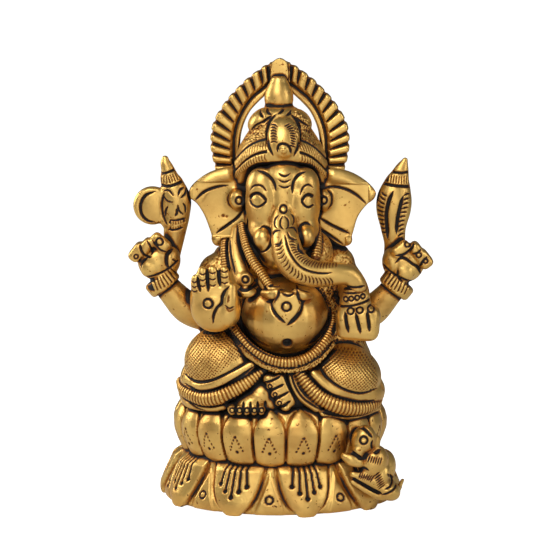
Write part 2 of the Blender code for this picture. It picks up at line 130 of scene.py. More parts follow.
def flow(points, steps=8, closed=False):
    # a smooth line through the points
    line = np.array(points, float)
    if len(line) < 3 or steps < 2:
        return line
    if closed:
        full = np.concatenate([line[-1:], line, line[:2]])
    else:
        full = np.concatenate([2 * line[:1] - line[1:2], line, 2 * line[-1:] - line[-2:-1]])
    share = (np.arange(steps) / steps)[:, None]
    out = []
    for a, b, c, d in zip(full, full[1:], full[2:], full[3:]):
        out.append(0.5 * (2 * b + (c - a) * share + (2 * a - 5 * b + 4 * c - d) * share ** 2
                          + (3 * b - a - 3 * c + d) * share ** 3))
    return np.concatenate([*out, full[-2:-1]])


def addLoft(blank, rings):
    # bridges one closed ring of points to the next, and fills both ends
    part = bmesh.new()
    loops = []
    for ring in rings:
        verts = [part.verts.new(point) for point in ring]
        loops.append([part.edges.new(pair) for pair in zip(verts, verts[1:] + verts[:1])])
    for lower, upper in zip(loops, loops[1:]):
        bmesh.ops.bridge_loops(part, edges=lower + upper)
    bmesh.ops.holes_fill(part, edges=part.edges[:], sides=0)
    bmesh.ops.recalc_face_normals(part, faces=part.faces)
    pour(part, blank)


def addRope(blank, stations, squash=(1, 1, 1)):
    # a round limb through (x, y, z, radius) stations, with ball ends
    line = flow(stations, 8)
    points, radii = line[:, :3], line[:, 3]
    runs = np.gradient(points, axis=0)
    runs /= np.linalg.norm(runs, axis=1)[:, None]
    caps = np.radians((72, 48, 24))
    rows = [(points[0] - runs[0] * radii[0] * math.sin(angle), radii[0] * math.cos(angle), runs[0])
            for angle in caps]
    rows += list(zip(points, radii, runs))
    rows += [(points[-1] + runs[-1] * radii[-1] * math.sin(angle), radii[-1] * math.cos(angle), runs[-1])
             for angle in caps[::-1]]
    side = np.array((0.31, 0.0, 1.0) if abs(runs[0][2]) < 0.8 else (1.0, 0.0, 0.31))
    turns = np.linspace(0, 2 * math.pi, 19)[:-1]
    rings = []
    for point, radius, run in rows:
        side = side - run * side.dot(run)
        side /= np.linalg.norm(side)
        around = np.outer(np.cos(turns), side) + np.outer(np.sin(turns), np.cross(run, side))
        rings.append([point + spoke * radius * np.array(squash) for spoke in around])
    addLoft(blank, rings)


def settled(piece):
    graph = bpy.context.evaluated_depsgraph_get()
    mesh = bpy.data.meshes.new_from_object(piece.evaluated_get(graph))
    piece.modifiers.clear()
    piece.data = mesh
    return piece


def melt(piece, grain, soften):
    # one skin of even grain over everything in the piece, then softened
    modifier = piece.modifiers.new("skin", "REMESH")
    modifier.mode = "VOXEL"
    modifier.voxel_size = grain * unit
    modifier.use_smooth_shade = True
    if soften:
        modifier = piece.modifiers.new("soften", "SMOOTH")
        modifier.factor = 0.5
        modifier.iterations = soften
    return settled(piece)


def smoothstep(low, high, value):
    share = np.clip((value - low) / (high - low), 0, 1)
    return share * share * (3 - 2 * share)


def inside(u, v, outline):
    # which points lie in a closed outline
    hit = np.zeros(len(u), bool)
    for (u0, v0), (u1, v1) in zip(outline, np.roll(outline, -1, axis=0)):
        crosses = (v0 > v) != (v1 > v)
        hit ^= crosses & (u < (u1 - u0) * (v - v0) / (v1 - v0 + 1e-12) + u0)
    return hit


class Casting:
    # the skin of one piece while it's being tooled: its points, normals, and how dark the patina and the painted
    # shade lie
    def __init__(self, name, blank, grain=0.2, soften=4, rough=0.5, roughSoften=6):
        mesh = bpy.data.meshes.new(name)
        blank.transform(Matrix.Scale(unit, 4))
        blank.to_mesh(mesh)
        blank.free()
        self.name, self.grain = name, grain * coarse
        self.piece = bpy.data.objects.new(name, mesh)
        bpy.context.scene.collection.objects.link(self.piece)
        if rough:
            melt(self.piece, rough, roughSoften)
        melt(self.piece, self.grain, soften)
        self.read()
        castings.append(self)

    def read(self):
        mesh = self.piece.data
        count = len(mesh.vertices)
        self.points = np.empty(count * 3)
        mesh.vertices.foreach_get("co", self.points)
        self.points = self.points.reshape(-1, 3) / unit
        self.normals = np.empty(count * 3)
        mesh.vertex_normals.foreach_get("vector", self.normals)
        self.normals = self.normals.reshape(-1, 3)
        self.shift = np.zeros(count)
        self.dark = np.zeros(count)
        self.face("front")

    def face(self, side):
        # the side that the next tool marks are drawn on; "left" is the figure's own
        x, y, z = self.points.T
        across = {"front": (x, z, -self.normals[:, 1]), "back": (-x, z, self.normals[:, 1]),
                  "left": (y, z, self.normals[:, 0]), "right": (-y, z, -self.normals[:, 0])}[side]
        self.u, self.v, toward = across
        self.hold = smoothstep(0.0, 0.3, toward)

    def wrap(self, u, v, hold):
        # any other way to lay the marks on the skin
        self.u, self.v, self.hold = u, v, hold

    def near(self, line, width):
        # the points near a line, their distance from it, how far along it they lie, and its length
        low, high = line.min(0) - width, line.max(0) + width
        found = np.flatnonzero((self.u > low[0]) & (self.u < high[0]) & (self.v > low[1]) & (self.v < high[1])
                               & (self.hold > 0))
        u, v = self.u[found], self.v[found]
        best = np.full(len(found), 1e9)
        along = np.zeros(len(found))
        start = 0.0
        for (u0, v0), (u1, v1) in zip(line, line[1:]):
            du, dv = u1 - u0, v1 - v0
            length = math.hypot(du, dv) + 1e-9
            raw = ((u - u0) * du + (v - v0) * dv) / length
            share = np.clip(raw, 0, length)
            off = np.hypot(u - u0 - du * share / length, v - v0 - dv * share / length)
            closer = off < best
            best = np.where(closer, off, best)
            along = np.where(closer, start + share, along)
            start += length
        return found, best, along, start

    def groove(self, points, width=0.55, depth=0.4, tone=1.0, taper=0.0, steps=6, closed=False):
        # an engraved line: tone is how black it is, and taper the share of it that narrows to the ends
        found, off, along, length = self.near(flow(points, steps, closed), width)
        if not len(found):
            return
        half = width / 2 * np.ones(len(found))
        if taper:
            ends = np.minimum(along, length - along) / (length * taper / 2 + 1e-9)
            half *= np.sqrt(np.clip(ends, 0.04, 1))
        hold = self.hold[found]
        cut = np.clip(1 - (off / (half * 1.25)) ** 2, 0, 1) * hold * depth * (half / (width / 2))
        self.shift[found] = np.minimum(self.shift[found], -cut)
        shade = tone * hold * smoothstep(1.5, 0.65, off / half)
        self.dark[found] = np.maximum(self.dark[found], shade)

    def ridge(self, points, width, height, power=1.0):
        found, off, *_ = self.near(flow(points, 6), width)
        rise = np.clip(1 - (off / (width / 2)) ** 2, 0, 1) ** power * self.hold[found] * height
        self.shift[found] += rise

    def ribs(self, points, width=1.6, pitch=0.7, depth=0.25, tone=0.8):
        # close cuts across a band, as on a cord or a gathered edge
        found, off, along, _ = self.near(flow(points, 6), width)
        cut = np.clip(np.cos(2 * math.pi * along / pitch), 0, 1)
        cut = cut * smoothstep(1.05, 0.8, off / (width / 2)) * self.hold[found]
        self.shift[found] -= cut * depth
        self.dark[found] = np.maximum(self.dark[found], cut * tone)

    def pit(self, centre, radius, depth=0.4, tone=1.0, stretch=(1, 1)):
        off = np.hypot((self.u - centre[0]) / stretch[0], (self.v - centre[1]) / stretch[1])
        found = np.flatnonzero((off < radius * 1.6) & (self.hold > 0))
        share = off[found] / radius
        self.shift[found] -= np.clip(1 - share ** 2 / 1.5, 0, 1) * depth * self.hold[found]
        self.dark[found] = np.maximum(self.dark[found], tone * smoothstep(1.35, 0.7, share) * self.hold[found])

    def boss(self, centre, radii, height):
        # a low dome pushed up from the skin, or down where height is negative
        off = np.hypot((self.u - centre[0]) / radii[0], (self.v - centre[1]) / radii[1])
        found = np.flatnonzero((off < 1) & (self.hold > 0))
        self.shift[found] += (1 - off[found] ** 2) * height * self.hold[found]

    def ringPunch(self, centre, radius=0.85, width=0.42, depth=0.3):
        turns = np.linspace(0, 2 * math.pi, 13)[:-1]
        ring = np.stack([centre[0] + radius * np.cos(turns), centre[1] + radius * np.sin(turns)], 1)
        self.groove(ring, width, depth, closed=True, steps=3)
        self.boss(centre, (radius, radius), 0.15)

    def matting(self, outline, pitch, depth, tone, turn):
        # a net of small punches over an area
        angle = math.radians(turn)
        u = self.u * math.cos(angle) + self.v * math.sin(angle)
        v = self.v * math.cos(angle) - self.u * math.sin(angle)
        dots = np.cos(2 * math.pi * u / pitch) * np.cos(2 * math.pi * v / pitch)
        dots = smoothstep(0.0, 0.7, dots) * inside(self.u, self.v, flow(outline, 4, closed=True)[:-1]) * self.hold
        self.shift -= dots * depth
        self.dark = np.maximum(self.dark, dots * tone)

    def roughen(self, outline, depth=0.25, pitch=1.4, tone=0.8):
        # an area left rough as it came from the mould and darkened in its hollows; on the body one such area also
        # paints shade behind the giving hand
        x, y, z = (self.points * 2 * math.pi / pitch).T
        bumps = (np.sin(x + 1.7 * np.sin(0.61 * z) + 0.3 * y) * np.sin(1.13 * z + 1.9 * np.sin(0.53 * x))
                 + 0.7 * np.sin(2.3 * x - 1.1 * z + 1.3 * np.sin(z)) * np.sin(1.9 * z + 0.7 * x))
        bumps = bumps * inside(self.u, self.v, flow(outline, 4, closed=True)[:-1]) * self.hold
        self.shift += bumps * depth
        self.dark = np.maximum(self.dark, smoothstep(-0.1, -0.9, bumps) * tone)

    def hatch(self, points, offset, length, count, lean, bow, width, depth, tone=0.9):
        # short cuts set off to one side of a line, each leaning along it and bowed
        line = flow(points, 10)
        gaps = np.hypot(*np.diff(line, axis=0).T)
        along = np.concatenate([[0], np.cumsum(gaps)])
        for place in (np.arange(count) + 0.5) / count * along[-1]:
            spot = np.array([np.interp(place, along, line[:, axis]) for axis in (0, 1)])
            ahead = np.array([np.interp(min(place + 0.2, along[-1]), along, line[:, axis]) for axis in (0, 1)])
            back = np.array([np.interp(max(place - 0.2, 0), along, line[:, axis]) for axis in (0, 1)])
            run = (ahead - back) / np.linalg.norm(ahead - back)
            side = np.array([run[1], -run[0]])
            start = spot + side * offset
            end = start + side * length + run * lean
            self.groove([start, (start + end) / 2 + run * bow, end], width, depth, tone, 0.6, steps=3)

    def knuckles(self, fingers):
        # short creases across each finger, at the heights given after its two sides
        for left, right, *levels in fingers:
            for z in levels:
                self.groove([(left, z), ((left + right) / 2, z - 0.35), (right, z)], 0.34, 0.22, 0.8, 0.4)

    def folds(self, places, top, low):
        # hanging creases of cloth, which spread a little towards the hem
        for place in places:
            crease = [(place * 0.92, top), (place * 1.02 + 0.4, (top + low) / 2), (place * 1.04, low)]
            self.groove(crease, 0.7, 0.4, 0.7, 0.6)
            self.ridge([(place * 0.94 + 1.6, top - 2), (place * 1.03 + 2.0, low)], 2.4, 0.35)

    def coil(self, stations, pitch, depth=0.2, tone=0.62, land=0.25):
        # cuts round a cord, with a land between one cut and the next
        line = flow(np.array(stations, float)[:, :3], 8)
        best = np.full(len(self.points), 1e9)
        along = np.zeros(len(self.points))
        start = 0.0
        for one, other in zip(line, line[1:]):
            run = other - one
            length = np.linalg.norm(run) + 1e-9
            share = np.clip((self.points - one) @ run / length ** 2, 0, 1)
            off = np.linalg.norm(self.points - one - share[:, None] * run, axis=1)
            along = np.where(off < best, start + share * length, along)
            best = np.minimum(best, off)
            start += length
        radii = np.interp(along, np.linspace(0, start, len(stations)), [entry[3] for entry in stations])
        cut = np.clip((0.5 + 0.5 * np.cos(2 * math.pi * along / pitch) - land) / (1 - land), 0, 1)
        cut = cut * smoothstep(1.35, 1.15, best / radii)
        self.shift -= cut * depth
        self.dark = np.maximum(self.dark, cut * tone)

    def tool(self, marks):
        # each mark is a tool's name, its settings, and every place it is used at
        for kind, settings, *places in marks:
            for place in places:
                getattr(self, kind)(place, *settings)

    def strike(self):
        # moves the skin by the tool marks so far
        self.points = self.points + self.normals * self.shift[:, None]
        self.points[:, 2] = np.maximum(self.points[:, 2], 0)   # nothing sinks into the ground
        self.piece.data.vertices.foreach_set("co", (self.points * unit).ravel())
        self.piece.data.update()
        dark = self.dark
        self.read()
        self.dark = dark

    def declare(self, *nodes):
        self.strike()
        self.nodes = nodes
        print("tooled", self.name, len(self.points), "points")


plinth = {
    "petals": 10, "firstPetal": 12.8,   # degrees round from the front
    "petalWidth": 0.86, "rise": 0.9, "crown": 0.75, "fade": (11.9, 9.0),
    "profile": [(24.6, 0.0), (25.6, 0.15), (26.3, 1.0), (26.2, 2.6), (25.3, 4.8), (23.8, 8.0), (22.7, 10.6),
                (22.0, 12.3)],
    "core": [(21.6, -1.0), (21.0, 3.6), (17.6, 7.0)],
    "outline": [(0.0, 0.16), (1.0, 0.34), (2.2, 0.48), (3.8, 0.60), (5.8, 0.70), (8.6, 0.79),
                (11.6, 0.86)],   # height, share of half a petal
    "gully": 0.33, "gullyDepth": 0.4, "gullyTop": (11.4, 9.6), "gullyTone": 0.95,
    "smallFoot": 3.6, "smallTop": 10.2, "smallRise": 0.45,   # the petals that fill between
    "lineEnds": [7.0, 5.6, 4.4, 5.7, 6.8], "lineGap": 1.5, "lineTop": 11.4, "line": (0.56, 0.42, 0.85),
    "lineEndPit": (0.52, 0.5), "punchHeight": 3.7, "punch": (0.8, 0.42),
    "skin": {"grain": 0.26, "rough": None, "soften": 2},
}


def aroundTier(casting, half, tier):
    # each point's place across its petal, from -1 to 1, and its height
    x, y, z = casting.points.T
    turn = np.degrees(np.arctan2(x / half[0], -y / half[1]))
    across = (turn - tier["firstPetal"]) * tier["petals"] / 360
    return (across - np.round(across)) * 2, z


def makePlinth():
    middle, half = spotOf("lotus_plinth")
    top = middle[2] + half[2]
    halfPetal = half[0] * math.pi / plinth["petals"] * plinth["petalWidth"]
    blank = bmesh.new()
    addTurned(blank, plinth["profile"], placed((0, 0, 0)), half[1] / half[0])
    casting = Casting("lotusPlinth", blank, **plinth["skin"])
    cutHollow(casting, plinth["core"], half[1] / half[0])
    across, z = aroundTier(casting, half, plinth)
    outward = smoothstep(-0.3, 0.3, radialFacing(casting)) * smoothstep(0.0, 0.7, z) * (z < top + 0.2)
    wide = np.interp(z, *np.array(plinth["outline"]).T)
    edge = (wide - np.abs(across)) * halfPetal   # distance in from the petal's edge
    dome = np.clip(1 - (across / np.maximum(wide, 0.2)) ** 2, 0, 1)
    relief = smoothstep(-0.25, 0.55, edge) * plinth["rise"] + dome * plinth["crown"]
    casting.shift += outward * relief * smoothstep(*plinth["fade"], z)
    gully = np.exp(-((edge + 0.14) / plinth["gully"]) ** 2) * outward * smoothstep(*plinth["gullyTop"], z)
    casting.shift -= gully * plinth["gullyDepth"]
    shade = smoothstep(0.1, 0.8, 1 - np.abs(z - 5) / 6.5) * plinth["gullyTone"]   # deepest at mid height
    casting.dark = np.maximum(casting.dark, gully * shade)
    small = np.interp(z, [0, plinth["smallTop"]], [plinth["smallFoot"], 0.0]) - (1 - np.abs(across)) * halfPetal
    casting.shift += outward * smoothstep(0, 0.8, small) * plinth["smallRise"] * (edge < 0)
    casting.strike()
    across, z = aroundTier(casting, half, plinth)
    outward = smoothstep(-0.3, 0.2, radialFacing(casting)) * (z > 0.6)
    casting.wrap(across * halfPetal, z, outward)
    for place, end in enumerate(plinth["lineEnds"]):
        offset = (place - 2) * plinth["lineGap"]
        casting.groove([(offset * 0.82, plinth["lineTop"]), (offset, end)], *plinth["line"])
        casting.pit((offset * 1.01, end - 0.2), *plinth["lineEndPit"])
    casting.wrap((1 - np.abs(across)) * np.sign(-across) * halfPetal, z, outward)
    casting.ringPunch((0, plinth["punchHeight"]), *plinth["punch"])
    casting.declare("lotus_plinth")


def radialFacing(casting):
    x, y, _ = casting.points.T
    size = np.hypot(x, y) + 1e-9
    return (casting.normals[:, 0] * x + casting.normals[:, 1] * y) / size


def cutHollow(casting, profile, ratio):
    # the founder's core: the pedestal is open underneath
    core = bmesh.new()
    addTurned(core, profile, placed((0, 0, 0)), ratio)
    mesh = bpy.data.meshes.new("core")
    core.transform(Matrix.Scale(unit, 4))
    core.to_mesh(mesh)
    core.free()
    tool = bpy.data.objects.new("core", mesh)
    bpy.context.scene.collection.objects.link(tool)
    modifier = casting.piece.modifiers.new("core", "BOOLEAN")
    modifier.operation, modifier.solver, modifier.object = "DIFFERENCE", "EXACT", tool
    settled(casting.piece)
    bpy.data.objects.remove(tool)
    melt(casting.piece, casting.grain, 1)
    casting.read()


seat = {
    "petals": 20, "firstPetal": 12.3, "petalWidth": 0.9,
    "profile": [(21.0, 11.4), (21.8, 12.0), (22.5, 13.2), (23.2, 14.8), (23.8, 16.6), (23.9, 18.4), (23.5, 20.0),
                (22.7, 21.4), (21.4, 22.7), (19.8, 23.6)],
    "shoulder": 18.0, "tip": 23.2, "fullWidth": 0.985,   # where a petal starts to narrow, and its point
    "rise": 0.55, "crown": 0.6, "sink": 0.4, "gully": 0.2, "slit": 15.6, "slitSpread": 2.6, "secondRow": 0.45,
    "dots": [(0.15, 17.7), (0.42, 17.0), (0.74, 16.2), (1.06, 15.4), (1.38, 14.6)],
    "dot": (0.23, 0.25, 0.9, (0.8, 1.2)),
    "skin": {"grain": 0.235, "rough": None, "soften": 2},
}


def makeSeat():
    _, half = spotOf("lotus_seat")
    halfPetal = half[0] * math.pi / seat["petals"] * seat["petalWidth"]
    blank = bmesh.new()
    addTurned(blank, seat["profile"], placed((0, 0, 0)), half[1] / half[0])
    casting = Casting("lotusSeat", blank, **seat["skin"])
    across, z = aroundTier(casting, half, seat)
    outward = smoothstep(-0.2, 0.35, radialFacing(casting))
    lift = np.clip((z - seat["shoulder"]) / (seat["tip"] - seat["shoulder"]), 0, 1)
    wide = seat["fullWidth"] * np.sqrt(np.clip(1 - lift ** 2.2, 0, 1))
    edge = (wide - np.abs(across)) * halfPetal
    dome = np.clip(1 - (across / np.maximum(wide, 0.15)) ** 2, 0, 1)
    casting.shift += outward * (smoothstep(-0.15, 0.4, edge) * seat["rise"] + dome * seat["crown"] - seat["sink"])
    gully = np.exp(-((edge + 0.02) / seat["gully"]) ** 2) * outward * smoothstep(12.0, 12.8, z)
    slit = np.exp(-((z - seat["slit"]) / seat["slitSpread"]) ** 2)
    casting.shift -= gully * (0.2 + 0.7 * slit)
    casting.dark = np.maximum(casting.dark, gully * (0.48 + 0.52 * slit))
    # a second row of points shows between the tips
    between = smoothstep(0.0, -0.9, edge) * smoothstep(seat["shoulder"] + 0.4, seat["tip"] - 2, z)
    casting.shift += between * outward * seat["secondRow"]
    casting.strike()
    across, z = aroundTier(casting, half, seat)
    casting.wrap(across * halfPetal, z, smoothstep(0.0, 0.3, radialFacing(casting)))
    for u, v in seat["dots"]:
        for side in (-1, 1):
            casting.pit((side * u, v), *seat["dot"])
    casting.pit((0.1, 14.2), 0.34, 0.3)
    casting.declare("lotus_seat")


def blankOf(design):
    # the rough wax: balls, ropes, slabs, turned pieces and plates, still separate
    blank = bmesh.new()
    makers = {"balls": addBall, "ropes": addRope, "slabs": addSlab, "turned": addTurned, "plates": addPlate}
    for kind, maker in makers.items():
        for entry in design.get(kind, []):
            maker(blank, *entry)
    return blank


def castPiece(name, design, *nodes):
    casting = Casting(name, blankOf(design), **design.get("skin", {}))
    casting.tool(design["marks"])
    casting.declare(*nodes)


headForm = {
    "balls": [
        ((0.5, -2.0, 68.0), (7.9, 8.4, 9.8)),   # skull
        ((-3.2, -4.8, 68.6), (4.6, 7.4, 8.4)), ((4.6, -4.8, 68.6), (4.5, 7.4, 8.4)),   # temples
        ((-3.9, -8.0, 72.3), (3.7, 3.6, 4.4)), ((5.2, -8.0, 72.3), (3.6, 3.6, 4.4)),   # brow domes
        ((0.8, -7.3, 73.4), (5.0, 4.6, 4.8)), ((0.8, -8.2, 69.4), (4.3, 3.9, 7.0)),   # forehead
        ((-2.6, -6.8, 62.2), (4.7, 5.0, 6.4)), ((4.6, -6.8, 62.4), (4.2, 5.0, 6.0)),   # cheeks
        ((-1.0, -9.6, 58.6), (3.9, 4.0, 4.8)), ((2.6, -8.0, 58.6), (4.0, 4.0, 4.0)),   # jaw
        ((-3.7, -10.8, 61.0), (2.2, 2.6, 2.6)), ((5.8, -10.8, 61.5), (2.0, 2.6, 2.5)),   # tusk stubs
        ((-5.0, -9.6, 69.6), (1.5, 2.2, 1.2), (0, 0, 20)), ((6.3, -9.6, 69.4), (1.3, 2.2, 1.2),
                                                            (0, 0, -20)),   # eyes
    ],
    "ropes": [([(0.8, -9.4, 71.0, 1.8), (0.8, -10.4, 67.0, 2.5), (0.9, -12.4, 63.6, 2.9), (1.3, -14.6, 60.4, 3.2),
                (2.4, -16.0, 57.0, 3.5), (4.9, -16.8, 54.8, 3.3), (8.4, -17.1, 54.0, 2.9), (12.0, -17.0, 54.1, 2.6),
                (15.0, -16.6, 53.7, 2.3), (16.7, -16.3, 52.0, 2.1), (16.9, -16.0, 50.4, 2.0)],)],
    "skin": {"grain": 0.17, "rough": 0.34, "roughSoften": 4, "soften": 2},
    "marks": [
        ("groove", (0.62, 0.5, 1, 0.5), [(-5, 76), (-3.3, 75.5), (-1.9, 74.3), (-1.2, 73), (-0.9, 71.6)]),
        ("groove", (0.6, 0.5, 1, 0.5), [(5.7, 75.8), (4.3, 75.3), (3.3, 74.2), (2.8, 72.8), (2.7, 71)]),
        ("groove", (0.42, 0.35, 1, 0.7), [(-0.4, 75.6), (0.3, 75.1), (1, 74.9), (1.7, 75.1), (2.4, 75.6)],
         [(-0.3, 72.9), (0.4, 72.5), (1, 72.4), (1.7, 72.5), (2.4, 72.9)]),
        ("groove", (0.42, 0.35, 0.9, 0.7), [(-0.4, 74.2), (0.3, 73.8), (1, 73.6), (1.7, 73.8), (2.4, 74.2)]),
        ("groove", (0.45, 0.35, 0.9, 0.6), [(-6.6, 71.6), (-5.9, 72.6), (-4.9, 72.9), (-3.8, 72.6), (-2.9, 71.5)],
         [(4.5, 70.8), (5, 72.3), (6.2, 73), (7.3, 72.3)]),
        ("groove", (0.62, 0.55, 1, 0.15), [(-6.7, 69.6), (-6.2, 70.6), (-5, 71.1), (-3.9, 70.6), (-2.9, 69.5)],
         [(4.7, 69.4), (5.5, 70.5), (6.4, 70.8), (7.5, 70.2)]),
        ("groove", (0.48, 0.45, 1, 0.15), [(-6.7, 69.5), (-6.2, 68.5), (-5, 68.1), (-3.9, 68.6), (-2.9, 69.5)],
         [(4.7, 69.4), (5.5, 68.4), (6.4, 68), (7.5, 68.5)]),
        ("ringPunch", (0.8, 0.42, 0.35), (0.75, 67.8)),
        ("groove", (0.4, 0.35, 1, 0.7), [(0.7, 66.5), (0.1, 65.5), (0.1, 64.4), (0.8, 63.7)], [(1, 66.4),
          (1.8, 65.5), (1.8, 64.3), (1.3, 63.8)]),
        ("groove", (0.4, 0.3, 0.9, 0.7), [(-0.2, 66.6), (-1.1, 65.6), (-1.2, 64.4), (-0.5, 63.8)], [(2.3, 66.8),
          (3, 66), (3.1, 65.1), (2.7, 64.4)], [(0.4, 61.8), (-0.1, 60.8), (-1.2, 60.4)]),
        ("groove", (0.4, 0.35, 0.9, 0.6), [(0.2, 63.5), (-1, 63.3), (-1.8, 62.2), (-1.9, 61)], [(1.7, 64),
          (2.9, 64), (3.5, 63.4), (3.8, 62.6)]),
        ("groove", (0.4, 0.35, 0.9, 0.7), [(1.6, 63.3), (2.1, 62.2), (3, 61.6), (3.7, 61.6)]),
        ("groove", (0.55, 0.55, 1, 0.5), [(-4.7, 63.2), (-3.6, 63.8), (-2.4, 63.2), (-1.9, 61.7), (-2.2, 59.9),
          (-3.3, 58.5), (-4.6, 57.9)]),
        ("groove", (0.55, 0.5, 1, 0.5), [(4.2, 62.6), (4.6, 64), (5.8, 64.5), (6.8, 64)], [(4, 60.8), (4.2, 59.5),
          (5.2, 58.8), (6.6, 58.7)]),
        ("groove", (0.42, 0.4, 1, 0.25), [(1.1, 62.6), (1.5, 60.6), (2.2, 58.9), (3.5, 57), (5.2, 55.6),
          (7.6, 54.8), (9.9, 54.6), (11.4, 54.8)]),
        ("hatch", (0.7, 1.9, 19, 0.75, 0.3, 0.29, 0.25, 0.75), [(1.1, 61.6), (1.6, 59.4), (2.4, 57.8), (3.6, 56.4),
          (5.6, 55.1), (8.4, 54.4), (11, 54.4)]),
        ("hatch", (-0.6, -1.3, 22, 0.5, -0.2, 0.28, 0.22, 0.7), [(1.2, 62.2), (1.7, 59.8), (2.5, 58.2), (3.8, 56.8),
          (5.8, 55.6), (8.6, 55), (12.6, 55.2)]),
        ("groove", (0.5, 0.4, 1, 0.4), [(14.3, 51.4), (16.2, 51.2), (18.6, 51.5)]),
    ],
}


crown = {
    "centre": (0.2, 0.4), "ratio": 1.02,
    "profile": [(8.8, 69.4), (10.1, 70.6), (10.5, 73.0), (10.6, 76.0), (10.1, 78.6), (9.2, 80.8), (8.0, 82.8),
                (6.8, 84.6),
                (5.4, 86.8), (4.2, 88.6), (3.4, 89.2)],
    "finial": [(3.2, 86.6), (3.35, 88.6), (3.3, 89.4), (3.0, 89.75), (3.2, 90.1), (3.3, 90.9), (3.25, 91.9),
               (3.0, 92.9), (2.5, 94.0),
               (2.0, 94.9), (1.75, 95.6), (1.5, 96.0)],
    "frontLift": 8.0, "sideDrop": 0.0055, "dropPower": 2.95, "liftEnd": 83.0,   # the rim arches over the brow
    "rim": 78.8, "lines": {80.3: (0.6, 0.5), 82.9: (0.5, 0.4)}, "edge": (2.2, 0.35),
    "finialSpot": (-0.25, 1.8, 0), "finialRatio": 0.95,
    "crest": (0.8, 3.6, -6), "apex": 5.5,   # the bands stay clear of these: middle, half width, depth; radius
    "hatches": 96, "hatchDepth": 0.2, "hatchTone": 0.62,
    "bands": [(78.3, 79.85, 0.25), (80.8, 82.5, 0.5)],   # low and high edge of the hatching, and its lean
    "skin": {"grain": 0.18, "rough": 0.3, "roughSoften": 3, "soften": 2},
    "balls": [
        ((-4.3, -1.4, 86.5), (3.5, 3.6, 2.2), (0, -42, 0)), ((4.4, -1.4, 86.4), (3.2, 3.6, 2.2),
                                                             (0, 42, 0)),   # knots
        ((0.8, -8.4, 83.2), (3.6, 2.5, 4.9), (-24, 0, 0)),   # crest
        ((0.0, 7.0, 84.0), (2.6, 3.4, 2.2)),
    ],
    "marks": [
        ("groove", (0.6, 0.5, 1, 0.35), [(-0.9, 88), (-2.3, 86.4), (-2.9, 84.2), (-2.5, 81.4), (-1.5, 79.2)],
         [(2.4, 88), (3.9, 86), (4.5, 83.7), (4, 81.2), (3, 79)]),
        ("hatch", (0.75, -1.5, 7, 0.1, -0.3, 0.34, 0.26, 0.85), [(-1.2, 86.1), (-1.4, 85), (-1.4, 83.4),
          (-1.3, 81.9)]),
        ("hatch", (0.7, -1.3, 10, 0.55, 0, 0.34, 0.28, 0.9), [(1.2, 86.4), (2.4, 85.3), (2.9, 83.6), (2.9, 81.4)]),
        ("groove", (0.55, 0.5, 1, 0.2), [(-0.6, 80.2), (-0.4, 81.5), (0.4, 82), (1.5, 81.8), (2.2, 81),
          (2.5, 79.8)]),
        ("boss", ((0.8, 0.8), 0.5), (0.85, 80.4)),
        ("groove", (0.6, 0.5, 1, 0.7), [(-4.4, 88.8), (-4.2, 87.9), (-3.6, 87.2)], [(-2.8, 89.5), (-2.7, 88.5),
          (-1.9, 87.8)], [(1, 89.7), (0.5, 88.7), (-0.5, 88)], [(2.4, 88.8), (2.1, 88.1), (1.3, 87.7)]),
        ("groove", (0.5, 0.4, 1, 0.4), [(-1.8, 87.7), (-3.5, 86.4), (-5.2, 85.6), (-6.4, 84.4)]),
        ("groove", (0.6, 0.4, 0.8, 0.5), [(3, 87.4), (4.6, 86.4), (6.4, 85.2)]),
        ("roughen", (0.12, 1.1), [(-3.4, 83.4), (-8.4, 81.6), (-6.4, 84.4), (-2.4, 87.2)]),
        ("roughen", (0.16, 1.2), [(3.6, 83.4), (9, 81), (7, 86), (3.4, 88.6)]),
        ("groove", (0.34, 0.25, 0.95), [(-3.6, 89.7), (-0.3, 89.5), (3, 89.7)]),
        ("face", (), "back"),
        ("groove", (0.6,), [(-4.6, 88), (0, 85.4), (4.6, 88)]),
        ("groove", (0.5,), [(-2.2, 83), (-0.8, 84.6), (0.8, 84.6), (2.2, 83)]),
    ],
}


def makeCrown():
    middleX, middleY = crown["centre"]
    foot = crown["profile"][0][1]
    blank = blankOf({"balls": crown["balls"]})
    cap = bmesh.new()
    addTurned(cap, crown["profile"], placed((middleX, middleY, 0)), crown["ratio"])
    for vert in cap.verts:
        x, y, z = vert.co
        share = max(0.0, 1 - (z - foot) / (crown["liftEnd"] - foot))
        lift = crown["frontLift"] - crown["sideDrop"] * abs(x - middleX) ** crown["dropPower"]
        vert.co.z += share * float(smoothstep(0.5, -6.0, y)) * max(0.0, lift)
    pour(cap, blank)
    addTurned(blank, crown["finial"], placed(crown["finialSpot"]), crown["finialRatio"])
    casting = Casting("crown", blank, **crown["skin"])
    x, y, z = casting.points.T
    turn = np.arctan2(x - middleX, middleY - y)
    height = z + crown["sideDrop"] * np.abs(x - middleX) ** crown["dropPower"]   # level along the arched bands
    crestX, crestHalf, crestY = crown["crest"]
    clear = ~((np.abs(x - crestX) < crestHalf) & (y < crestY)) & (np.hypot(x, y) > crown["apex"])
    casting.wrap(turn * 10, height, clear.astype(float))
    half = math.pi * 10
    for level, cut in crown["lines"].items():
        casting.groove([(-half, level), (half, level)], *cut)
    casting.ridge([(-half, crown["rim"] + 0.3), (half, crown["rim"] + 0.3)], *crown["edge"])
    for low, high, lean in crown["bands"]:
        band = smoothstep(low - 0.1, low + 0.25, height) * smoothstep(high + 0.1, high - 0.25, height) * clear
        cut = smoothstep(0.1, 0.8, np.cos(turn * crown["hatches"] + (height - low) * lean * 3)) * band
        casting.shift -= cut * crown["hatchDepth"]
        casting.dark = np.maximum(casting.dark, cut * crown["hatchTone"])
    casting.strike()
    casting.tool(crown["marks"])
    casting.declare("crown_cap", "right_crown_knot", "left_crown_knot", "crown_crest", "crown_finial")


